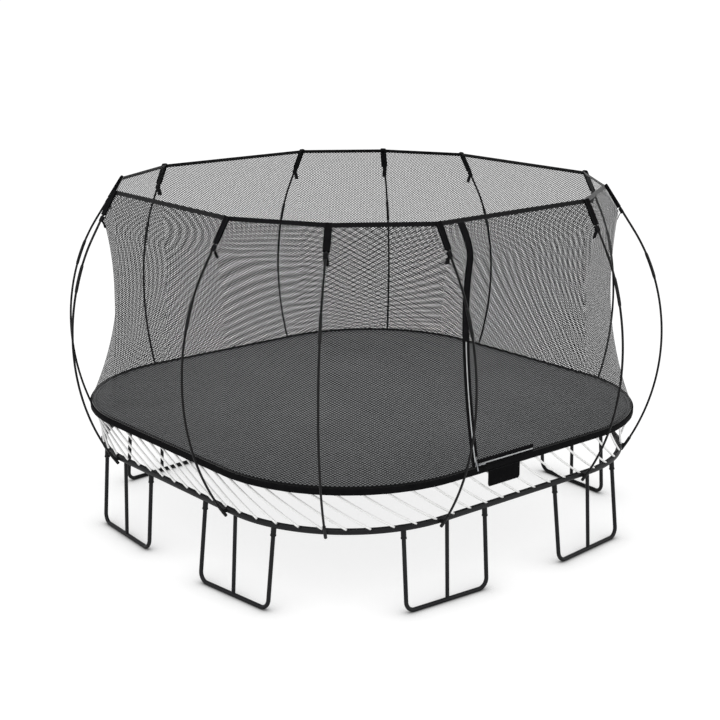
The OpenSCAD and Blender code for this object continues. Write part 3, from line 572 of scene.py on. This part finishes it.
# Net rods: bowed from the frame's sockets up to a bend, then straight to the sleeves. A list is for the two of a
# side, which stand a little behind even places, and the one of a corner
rodPlaces = {"half": 0.658, "behind": 0.047}
netRod = {"radius": 0.0078, "sides": 16, "footZ": 0.532, "bendZ": 2.100, "tipZ": 2.444, "bow": 0.2217,
          "places": [-rodPlaces["half"] - rodPlaces["behind"], rodPlaces["half"] - rodPlaces["behind"],
                     ring["sideHalf"] + ring["cornerRadius"] * math.pi / 4 - rodPlaces["behind"]],
          "footOut": [0.022, 0.022, 0.016], "bendOut": [0.172, 0.172, 0.062],
          "tipOut": [-0.035, -0.035, -0.166],
          "bowSteps": 120, "tipSteps": 30, "tipShort": 0.006, "easeReach": 8, "easePasses": 12}
ferrule = {"radius": 0.0112, "length": 0.190, "down": 0.130, "rings": 12, "drawnIn": 0.86}
tipZ = netRod["tipZ"]


def rodPlace(k):
    return (k // 3) * quarter + netRod["places"][k % 3]


def rodRing(k, outs):
    return ringAt(rodPlace(k), outs[k % 3])


def rodPoint(k, end):
    return ringPoint(rodPlace(k), netRod[end + "Out"][k % 3], netRod[end + "Z"])


ferrules = []
for side, sideName in enumerate(sideNames):
    rods = []
    for k in range(3 * side, 3 * side + 3):
        foot, bend, tip = rodPoint(k, "foot"), rodPoint(k, "bend"), rodPoint(k, "tip")
        away = np.append(outward(rodPlace(k)), 0)
        bowed = arcPath(foot, bend, away, netRod["bow"], netRod["bowSteps"])
        straight = bend + (tip - bend) * np.linspace(0, 1, netRod["tipSteps"])[1:, None]
        straight[-1] = tip - unit(tip - bend) * netRod["tipShort"]
        path = np.r_[bowed, straight]
        # The bend is eased: each point near it is moved to the mean of its neighbours a few times
        first, last = netRod["bowSteps"] - netRod["easeReach"], netRod["bowSteps"] + netRod["easeReach"]
        for _ in range(netRod["easePasses"]):
            path[first:last] = (path[first - 1:last - 1] + path[first + 1:last + 1]) / 2
        rods.append(sweepBar("rod", path[1:], circleProfile(netRod["radius"], netRod["sides"]), away))
        # The ferrule over the joint of the rod's two halves, with its ends drawn in
        along = runLength(bowed)
        end = along[-1] - ferrule["down"]
        at = end - ferrule["length"] * (1 - np.linspace(0, 1, ferrule["rings"]))
        centre = np.stack([np.interp(at, along, bowed[:, n]) for n in range(3)], -1)
        shell = sweepGrid(centre, circleProfile(ferrule["radius"], netRod["sides"]), away)
        drawnIn = np.where((at < at[1]) | (at > at[-2]), ferrule["drawnIn"], 1.0)[:, None, None]
        shell = centre[:, None] + (shell - centre[:, None]) * drawnIn
        ferrules.append(gridMesh("ferrule", withEnds(shell), closeColumns=True, flip=True))
    rods = joinPieces("netRods" + sideName.capitalize(), rods)
    addPiece(rods, "blackRod", "black_glass_fibre", "frame", "net_rods_" + sideName)
addPiece(joinPieces("rodFerrules", ferrules), "ferrule", "ferrule_plastic", "frame", "net_rod_ferrules")
print("net rods made")

# Net: one cloth between each rod and the next, with its foot inside its hem
net = {"baseOut": 0.074, "baseZ": 0.883, "waistZ": 1.800, "shoulderZ": 2.275, "bandHeight": 0.030,
       "shoulderOut": [0.050, 0.050, -0.080], "waistOut": [-0.008, -0.008, -0.112], "tipInset": 0.0165,
       "zipAtFoot": 0.182, "zipAtTop": 0.140, "zipGap": 0.017, "gapCloses": 1.958,
       "ease": 0.11, "easeBelow": 0.25, "easeWeights": [1 / 12, 1 / 6, 1 / 6, 1 / 6, 1 / 6, 1 / 6, 1 / 12],
       "under": 0.004, "rowsBelow": 48, "rowsAbove": 10, "stripColumns": 6, "doorColumns": 24,
       "wallColumns": 28, "cornerColumns": 20}
shoulderZ = net["shoulderZ"]


def tipInside(k):
    return rodRing(k, netRod["tipOut"]) - outward(rodPlace(k)) * net["tipInset"]


def netRun(k, w):
    return rodPlace(k) + (rodPlace(k + 1) - rodPlace(k)) * w


# Level place of the net a share w of the way from rod k to the next, at height z: a parabola from the waist
# down to the mat's edge and another up to the shoulder, then straight to the top band
def netPlace(k, w, z):
    mixed = lambda a, b: a + (b - a) * w[..., None]
    waist = mixed(rodRing(k, net["waistOut"]), rodRing(k + 1, net["waistOut"]))
    shoulder = mixed(rodRing(k, net["shoulderOut"]), rodRing(k + 1, net["shoulderOut"]))
    upper = mixed(tipInside(k), tipInside(k + 1))
    below = np.clip((net["waistZ"] - z) / (net["waistZ"] - net["baseZ"]), 0, 2) ** 2
    above = np.clip((z - net["waistZ"]) / (shoulderZ - net["waistZ"]), 0, 1) ** 2
    last = np.clip((z - shoulderZ) / (tipZ - shoulderZ), 0, 1)
    flat = waist + (ringAt(netRun(k, w), net["baseOut"]) - waist) * below[..., None]
    flat = flat + (shoulder - waist) * above[..., None]
    return flat + (upper - shoulder) * last[..., None]


# Point of the net, moved inwards by inset. Between the rods the shoulder is rounded: each place is a mean of
# those up to ease above and below, and ease is nothing at the rods, the top band and well below the shoulder
def netPoint(k, w, z, inset=0.0):
    w, z = np.broadcast_arrays(np.asarray(w, float), np.asarray(z, float))
    room = np.minimum(tipZ - net["bandHeight"] / 2 - z,
                      (z - shoulderZ + net["easeBelow"]) / 2)
    ease = np.clip(room, 0, net["ease"]) * np.clip(6 * w * (1 - w), 0, 1)
    steps = zip(np.linspace(-1, 1, len(net["easeWeights"])), net["easeWeights"])
    flat = sum(netPlace(k, w, z + step * ease) * weight for step, weight in steps)
    flat = flat - outward(netRun(k, w)) * np.asarray(inset, float)[..., None]
    return spread(flat[..., 0], flat[..., 1], z)


# Share w of the zip's centreline at height z, moved sideways by x
def zipShare(z, x=0.0):
    rise = (z - net["baseZ"]) / (tipZ - net["baseZ"])
    return net["zipAtFoot"] + (net["zipAtTop"] - net["zipAtFoot"]) * rise + x / (rodPlace(1) - rodPlace(0))


# Half the gap behind the zip, which the net is sewn to: full up to the waist, and closed above the zip's end
def doorGap(z):
    return net["zipGap"] * np.clip((net["gapCloses"] - z) / (net["gapCloses"] - net["waistZ"]), 0, 1)


# Heights from foot to top, in two runs that meet at the net's shoulder
def shoulderedHeights(foot, below, top, above):
    return np.r_[np.linspace(foot, shoulderZ, below), np.linspace(shoulderZ, top, above)[1:]]


rowHeights = shoulderedHeights(net["baseZ"] - net["under"], net["rowsBelow"], tipZ,
                               net["rowsAbove"])


def netPanel(name, k, left, right, columns, node):
    w = left[:, None] + (right - left)[:, None] * np.linspace(0, 1, columns + 1)[None]
    grid = netPoint(k, w, np.broadcast_to(rowHeights[:, None], w.shape))
    middle = netPoint(k, np.full_like(rowHeights, 0.5), rowHeights)
    rise = np.broadcast_to(runLength(middle)[:, None], w.shape)
    panel = gridMesh(name, grid, uv=np.stack([netRun(k, w), rise], -1))
    addPiece(panel, "netCloth", "net_mesh", "stretch", node)
    declareCloth(grid)


# Top band: webbing from rod to rod round the net's top edge, leaning in as far as the net below it does. Its
# faces stand outer and inner metres off the line from rod to rod
topBand = {"outer": 0.0031, "inner": 0.0001, "steps": 10}
bandLean = math.atan2(net["shoulderOut"][0] - netRod["tipOut"][0] + net["tipInset"],
                      tipZ - shoulderZ)
corners = np.array([tipInside(k) for k in range(12)])
across = np.array([-1, 0, 1, 1, 0, -1]) * net["bandHeight"] / 2
upright = spread(-np.repeat([topBand["outer"], topBand["inner"]], 3), across)
leanCos, leanSin = math.cos(bandLean), math.sin(bandLean)
profile = upright @ np.array([(leanCos, -leanSin), (leanSin, leanCos)])
share = np.linspace(0, 1, topBand["steps"], endpoint=False)[:, None]
line = np.concatenate([corners[n] + (corners[(n + 1) % 12] - corners[n]) * share for n in range(12)])
turned = np.roll(line, -1, 0) - np.roll(line, 1, 0)
turned /= norm(turned, axis=1)[:, None]
sideways = spread(turned[:, 1], -turned[:, 0])
flat = line[:, None] - profile[None, :, :1] * sideways[:, None]
height = np.broadcast_to(tipZ + profile[None, :, 1:], flat.shape[:2] + (1,))
bandRun = runLength(np.r_[line, line[:1]])
band = ringBand("netTopBand", np.concatenate([flat, height], -1), bandRun[:-1], across,
                float(bandRun[-1]), smooth=False)
addPiece(band, "band", "net_webbing", "frame", "net_top_band")

# The net's panels: the front one is split at the zip into a strip and the door
zero, one = np.zeros_like(rowHeights), np.ones_like(rowHeights)
gap = doorGap(rowHeights)
netPanel("netFrontStrip", 0, zero, zipShare(rowHeights, -gap), net["stripColumns"], "net_front_strip")
netPanel("netFrontDoor", 0, zipShare(rowHeights, gap), one, net["doorColumns"], "net_front_door")
for k in range(1, 12):
    side, part = sideNames[k // 3], ("wall", "corner_a", "corner_b")[k % 3]
    label = "net" + side.capitalize() + part.title().replace("_", "")
    columns = net["wallColumns"] if part == "wall" else net["cornerColumns"]
    netPanel(label, k, zero, one, columns, "net_%s_%s" % (side, part))
print("net panels made")


# A band of cloth laid on the net: rows at heights z, from x0 to x1 across the zip's line, lifted outwards, and
# more by crown in its middle
def zipBand(name, z, x0, x1, lift, thickness, material, slot, node, columns=4, crown=0.0):
    x = np.linspace(x0, x1, columns + 1)
    rise = lift + crown * (1 - ((x - (x0 + x1) / 2) / ((x1 - x0) / 2)) ** 2)
    shape = (len(z), len(x))
    grid = netPoint(0, zipShare(z[:, None], x[None]), np.broadcast_to(z[:, None], shape),
                    -np.broadcast_to(rise, shape))
    along = runLength(grid[:, 0])
    piece = gridMesh(name, grid, uv=spread(along[:, None], x[None]))
    thicken(piece, thickness, 1)
    addPiece(piece, material, slot, "stretch", node)
    declareCloth(grid)


# The upright zip: two tapes with a coil between them, and a cover from the end of the zip up to the top band
zipper = {"width": 0.058, "teeth": 0.008, "topZ": 1.690, "footZ": 0.885, "doorFootZ": 0.931, "rows": 40,
          "tapeLift": 0.001, "tape": 0.0012, "coilLift": 0.0026, "coilLean": 0.035}
zipCover = {"lift": 0.001, "thickness": 0.0018, "crown": 0.002, "columns": 8, "rowsBelow": 24, "rowsAbove": 8,
            "underTip": 0.011}
zipHalf, teethHalf = zipper["width"] / 2, zipper["teeth"] / 2
upHeights = np.linspace(zipper["footZ"], zipper["topZ"], zipper["rows"])
for name, heights, x0, x1, node in (
        ("zipTapeFixed", upHeights, -zipHalf, -teethHalf, "zip_tape_fixed"),
        ("zipTapeDoor", upHeights[upHeights > zipper["doorFootZ"]], teethHalf, zipHalf, "zip_tape_door")):
    zipBand(name, heights, x0, x1, zipper["tapeLift"], zipper["tape"], "tape", "zip_tape", node)
coverHeights = shoulderedHeights(zipper["topZ"], zipCover["rowsBelow"], tipZ - zipCover["underTip"],
                                 zipCover["rowsAbove"])
zipBand("zipCover", coverHeights, -zipHalf, zipHalf, zipCover["lift"], zipCover["thickness"], "cover",
        "net_webbing", "zip_cover", zipCover["columns"], zipCover["crown"])
print("zip bands made")

# Coil of a zip: two rows of small bars, half a pitch apart, with widths as shares of the coil's
coil = {"pitch": 0.004, "stagger": 0.25, "apart": 0.22, "halfWidth": 0.28, "halfLength": 0.2,
        "halfDepth": 0.0009}
boxSigns = np.array([(-1, -1, -1), (1, -1, -1), (1, 1, -1), (-1, 1, -1),
                     (-1, -1, 1), (1, -1, 1), (1, 1, 1), (-1, 1, 1)])
boxFaces = np.array([(0, 3, 2, 1), (4, 5, 6, 7), (0, 1, 5, 4), (1, 2, 6, 5), (2, 3, 7, 6), (3, 0, 4, 7)])


def coilTeeth(name, centres, across, body, node):
    along = runLength(centres)
    away = np.array([0, -1.0, 0])
    at = np.arange(coil["pitch"] / 2, along[-1], coil["pitch"])
    centre = np.stack([np.interp(at, along, centres[:, n]) for n in range(3)], -1)
    direction = np.gradient(centre, axis=0)
    direction /= norm(direction, axis=1)[:, None]
    half = [across * zipper["teeth"] * coil["halfWidth"], direction * coil["pitch"] * coil["halfLength"],
            away * coil["halfDepth"]]
    rows = []
    for turn in (-1, 1):
        middle = centre + direction * (coil["stagger"] * coil["pitch"] * turn)
        middle = middle + across * (turn * zipper["teeth"] * coil["apart"])
        spans = (np.broadcast_to(way, middle.shape)[:, None] for way in half)
        rows.append(middle[:, None] + sum(boxSigns[None, :, n:n + 1] * span for n, span in enumerate(spans)))
    points = np.concatenate(rows).reshape(-1, 3)
    faces = (np.arange(len(points) // 8)[:, None, None] * 8 + boxFaces[None]).reshape(-1, 4)
    mesh = bpy.data.meshes.new(name)
    mesh.from_pydata(points, [], faces.tolist())
    turned = bmesh.new()
    turned.from_mesh(mesh)
    bmesh.ops.recalc_face_normals(turned, faces=turned.faces)
    turned.to_mesh(mesh)
    turned.free()
    addPiece(addObject(name, mesh), "coil", "zip_coil", body, node)


teethLine = netPoint(0, zipShare(upHeights), upHeights, -zipper["coilLift"])
coilTeeth("zipCoil", teethLine, np.array([1.0, 0, zipper["coilLean"]]), "stretch", "zip_teeth")

# Level zip along the mat's edge: a tape with a soft wave, standing on the border, and a coil in front
hem = {"x0": -0.465558, "start": 0.009, "length": 0.512, "y": -1.691, "height": 0.050, "fringe": 0.006,
       "columns": 40, "rows": 6, "foot": 0.0008, "behind": 0.001, "wave": 0.0006, "waveTurn": 90,
       "tape": 0.0012, "teethZ": 0.899, "coilAhead": 0.0008, "coilSteps": 30}
x = np.linspace(hem["x0"] + hem["start"], hem["x0"] + hem["length"] + hem["fringe"], hem["columns"])
z = np.linspace(mat["topZ"] + hem["foot"], mat["topZ"] + hem["height"] + hem["fringe"], hem["rows"])
y = hem["y"] + hem["behind"] + hem["wave"] * np.sin(z * hem["waveTurn"])
grid = spread(x[:, None], y[None], z[None])
hemTape = gridMesh("hemTape", grid, uv=spread(x[:, None], z - z.mean()), flip=True)
thicken(hemTape, hem["tape"], 1)
addPiece(hemTape, "tape", "zip_tape", "mat", "hem_tape")
declareCloth(grid)
x = np.linspace(hem["x0"] + hem["start"], hem["x0"] + hem["length"], hem["coilSteps"])
hemLine = spread(x, hem["y"] - hem["coilAhead"], hem["teethZ"])
coilTeeth("hemCoil", hemLine, np.array([0, 0, 1.0]), "mat", "hem_teeth")

# Net's own hem: tape folded over its foot all round, standing on the border
netHem = {"out": 0.0745, "thickness": 0.0016, "top": 0.891, "round": 512, "foot": 0.001, "fold": 0.001}
place = placesRound(netHem["round"])
half, foot, bent = netHem["thickness"] / 2, mat["topZ"] + netHem["foot"], netHem["top"] - netHem["fold"]
profile = np.array([(-half, foot), (half, foot), (half, bent), (0, netHem["top"]), (-half, bent)])
grid = ringPoint(place[:, None], netHem["out"] + profile[None, :, 0], profile[None, :, 1])
netFoot = ringBand("netHem", grid, place, profile[:, 1] - mat["topZ"])
addPiece(netFoot, "band", "net_webbing", "mat")
print("level zip and hem made")

# Sleeves over the rod tips, each with a strap looped round the rod below it and a tail in to the net. A sleeve
# is as thick as its padding outwards, and inwards it reaches the net and takes in the band. A loop is thicker
# inwards, by slack
sleeve = {"width": 0.048, "outside": 0.0105, "length": 0.165, "above": 0.019, "mouth": 0.0015, "rings": 22,
          "ringsFrom": 0.008, "ringsEnd": 0.002, "clear": 0.001,
          "bandClear": 0.002, "overBand": 0.0025, "netSteps": 80, "netBelow": 0.08}
strap = {"width": 0.034, "thickness": 0.0025, "loopTop": 0.174, "loopFoot": 0.212, "loopThickness": 0.017,
         "loopRings": 6, "slack": 2.0, "tailUp": 0.002, "tailIn": 0.013, "drop": 0.052,
         "tailSteps": 10, "hang": 0.003}
angle = np.arange(28) * 2 * math.pi / 28


# Rounded oblong section: each coordinate is the circle's, drawn out towards its sign by a power below one
def squaredSection(halfDepth, depthPower, halfWidth):
    squared = lambda value, power: np.sign(value) * np.abs(value) ** power
    return spread(halfDepth * squared(np.sin(angle), depthPower), halfWidth * squared(np.cos(angle), 0.55))


padded = squaredSection(1.0, 0.75, sleeve["width"] / 2)
looped = squaredSection(strap["loopThickness"] / 2, 0.8, strap["width"] / 2)
tailed = np.array([(-1, -1), (-1, 0), (-1, 1), (1, 1), (1, 0), (1, -1)]) / 2
tailed = tailed * (strap["thickness"], strap["width"])
sleevePinch = [0.7, 0.92] + [1.0] * sleeve["rings"] + [0.9]
loopPinch = [0.93] + [1] * (strap["loopRings"] - 2) + [0.93]
sleeves, straps = [], []


# A closed bar with V across it from its middle. The profile's first coordinate is multiplied by outside where
# it points outwards, and by inside, one value for each point of the path, where it points inwards
def clothBar(name, path, profile, away, pinch, outside, inside, smooth=True):
    sections = np.broadcast_to(profile, (len(path),) + profile.shape).copy()
    sections[..., 0] *= np.where(profile[None, :, 0] > 0, outside, inside[:, None])
    normals, sideways = pathFrames(path, away)
    grid = path[:, None] + sections[..., :1] * normals[:, None] + sections[..., 1:] * sideways[:, None]
    grid = path[:, None] + (grid - path[:, None]) * np.asarray(pinch)[:, None, None]
    uv = spread(runLength(path)[:, None], profile[None, :, 1])
    uv = np.r_[uv[:1], uv, uv[-1:]]
    return gridMesh(name, withEnds(grid), closeColumns=True, uv=uv, flip=True, smooth=smooth)


for k in range(12):
    bend, tip = rodPoint(k, "bend"), rodPoint(k, "tip")
    slope = unit(bend - tip)
    away = np.append(outward(rodPlace(k)), 0)
    top, foot = -sleeve["above"], sleeve["length"]
    rings = np.linspace(top + sleeve["ringsFrom"], foot - sleeve["ringsEnd"], sleeve["rings"])
    reach = np.r_[top, top + sleeve["mouth"], rings, foot]
    # Distance from the rod's axis in to the net, square to the rod: found from the net's points along the rod
    square = unit(away - away @ slope * slope)
    heights = np.linspace(tipZ, shoulderZ - sleeve["netBelow"], sleeve["netSteps"])
    netLine = netPoint(k, np.zeros_like(heights), heights) - tip
    room = np.interp(reach, netLine @ slope, -netLine @ square) - sleeve["clear"]
    bandFoot = net["bandHeight"] / 2 - net["tipInset"] * math.sin(bandLean) + sleeve["bandClear"]
    room = np.where(reach < bandFoot, net["tipInset"] * math.cos(bandLean) + sleeve["overBand"], room)
    path = tip + slope * reach[:, None]
    sleeves.append(clothBar("sleeve", path, padded, away, sleevePinch, sleeve["outside"], room))
    reach = np.linspace(strap["loopTop"], strap["loopFoot"], strap["loopRings"])
    slack = np.full(strap["loopRings"], strap["slack"])
    straps.append(clothBar("loop", tip + slope * reach[:, None], looped, away, loopPinch, 1.0, slack))
    # The tail leaves the loop's foot on its inner side, and falls to the net
    start = tip + slope * (strap["loopFoot"] - strap["tailUp"]) - away * strap["tailIn"]
    land = netPoint(k, 0.0, start[2] - strap["drop"], -strap["thickness"])
    share = np.linspace(0, 1, strap["tailSteps"])[:, None]
    hang = np.sin(np.linspace(0, math.pi, strap["tailSteps"]))[:, None]
    line = start + (land - start) * share - away * strap["hang"] * hang
    even = np.ones(strap["tailSteps"])
    straps.append(clothBar("tail", line, tailed, away, even, 1.0, even, smooth=False))
addPiece(joinPieces("rodSleeves", sleeves), "sleeve", "net_webbing", "frame", "net_rod_sleeves")
addPiece(joinPieces("sleeveStraps", straps), "strap", "net_webbing", "frame", "net_rod_straps")
print("sleeves and straps made")

# Patch under the border beside the zip: left bare, with round corners at its foot and a soft wave
patch = {"x0": -0.367, "width": 0.286, "height": 0.110, "corner": 0.016, "y": -1.7005, "topZ": 0.843,
         "thickness": 0.002, "columns": 28, "rows": 12, "wave": 0.0003, "waveTurn": 60}
across = patch["x0"] + patch["width"] * np.linspace(0, 1, patch["columns"] + 1)
fromEnd = np.minimum(across - patch["x0"], patch["x0"] + patch["width"] - across)
inCorner = np.clip(patch["corner"] - fromEnd, 0, None)
foot = patch["topZ"] - patch["height"] + patch["corner"] - np.sqrt(patch["corner"] ** 2 - inCorner ** 2)
level = np.linspace(0, 1, patch["rows"])[:, None]
z = patch["topZ"] + (foot - patch["topZ"])[None] * level
y = patch["y"] - patch["wave"] * np.sin(across * patch["waveTurn"])[None] * level
grid = spread(across[None], y, z)
v = -patch["height"] / 2 + patch["height"] * level
bare = gridMesh("barePatch", grid, uv=spread(across[None], v), flip=True)
thicken(bare, patch["thickness"], 1)
addPiece(bare, "patch", "label_fabric", "mat", "label_patch")
print("patch made")


# One where a ray comes from the camera, a reflection or a clear piece, and nought elsewhere
def seenRay(add):
    ray = add("LightPath").outputs
    seen = add("Math MAXIMUM", [ray["Is Camera Ray"], ray["Is Glossy Ray"]])
    return add("Math MAXIMUM", [seen, ray["Is Transmission Ray"]])


# The floor: pale, with the object's soft shadow. Where it is seen it is lifted to white and its own colour is
# darker, which keeps the shadow as faint as on a white sweep. The lift falls off close to what stands on it,
# by ambient occlusion, which paints a contact shadow there
stage = {"half": 400.0, "colour": "#f2f2f2", "seenColour": "#9a9a9a", "lift": 0.80, "paintedShadowReach": 0.35,
         "depth": 3.0}
square = np.array([[(-1, -1, 0), (1, -1, 0)], [(-1, 1, 0), (1, 1, 0)]], float)
floor = gridMesh("studioFloor", square * stage["half"], smooth=False)
material, add, shader = startMaterial("paintedStudioFloor", Roughness=0.9, Specular_IOR_Level=0.0,
                                 Emission_Color=(1, 1, 1, 1))
seen = seenRay(add)
floorColour = add("Mix", {"Factor": seen, "A": hexColour(stage["colour"]),
                                        "B": hexColour(stage["seenColour"])}, data_type="RGBA")
feed(shader, "Base Color", floorColour.outputs["Result"])
# Painted contact shadow: the lift is cut by ambient occlusion close to what stands on the floor
openness = add("AmbientOcclusion", {"Distance": stage["paintedShadowReach"]}).outputs["AO"]
lifted = add("Math MULTIPLY", [add("Math POWER", [openness, stage["depth"]]), stage["lift"]])
feed(shader, "Emission Strength", add("Math MULTIPLY", [seen, lifted]))
floor.data.materials.append(material)

# The sky: white, brighter where it is seen than where it lights the object
sky = {"lighting": 0.78, "more": 0.22}
world = bpy.data.worlds.new("paleStudio")
scene.world = world
add = startNodes(world)
strength = add("Math MULTIPLY_ADD", [seenRay(add), sky["more"], sky["lighting"]])
background = add("Background", {"Color": (1, 1, 1, 1), "Strength": strength})
add("OutputWorld", {"Surface": background})

# Two square lamps that look at a point a metre up: place, size and watts
lamps = {"key": ((-4.0, -3.0, 7.5), 6.0, 215.0), "fill": ((5.0, -6.0, 5.0), 6.0, 70.0)}
for name, (place, size, power) in lamps.items():
    light = bpy.data.lights.new(name, "AREA")
    light.size, light.energy = size, power
    lamp = addObject(name, light)
    lamp.location = place
    lamp.rotation_euler = (Vector((0, 0, 1.0)) - Vector(place)).to_track_quat("-Z", "Y").to_euler()

view = {"place": (-6.7363, -8.0230, 4.0330), "yaw": 0.8646, "pitch": 0.2689, "roll": 0.002, "lens": 74.66,
        "shift": -0.0157, "sensor": 36.0, "clipEnd": 200}
cameraData = bpy.data.cameras.new("camera")
cameraData.sensor_width, cameraData.lens = view["sensor"], view["lens"]
cameraData.shift_x, cameraData.clip_end = view["shift"], view["clipEnd"]
camera = addObject("camera", cameraData)
level = math.cos(view["pitch"])
look = Vector((math.cos(view["yaw"]) * level, math.sin(view["yaw"]) * level, -math.sin(view["pitch"])))
right = look.cross(Vector((0, 0, 1))).normalized()
up = right.cross(look)
rollCos, rollSin = math.cos(view["roll"]), math.sin(view["roll"])
right, up = right * rollCos + up * rollSin, up * rollCos - right * rollSin
turn = Matrix((right, up, -look)).transposed().to_4x4()
turn.translation = Vector(view["place"])
camera.matrix_world = turn
scene.camera = camera
print("stage, light and camera set")
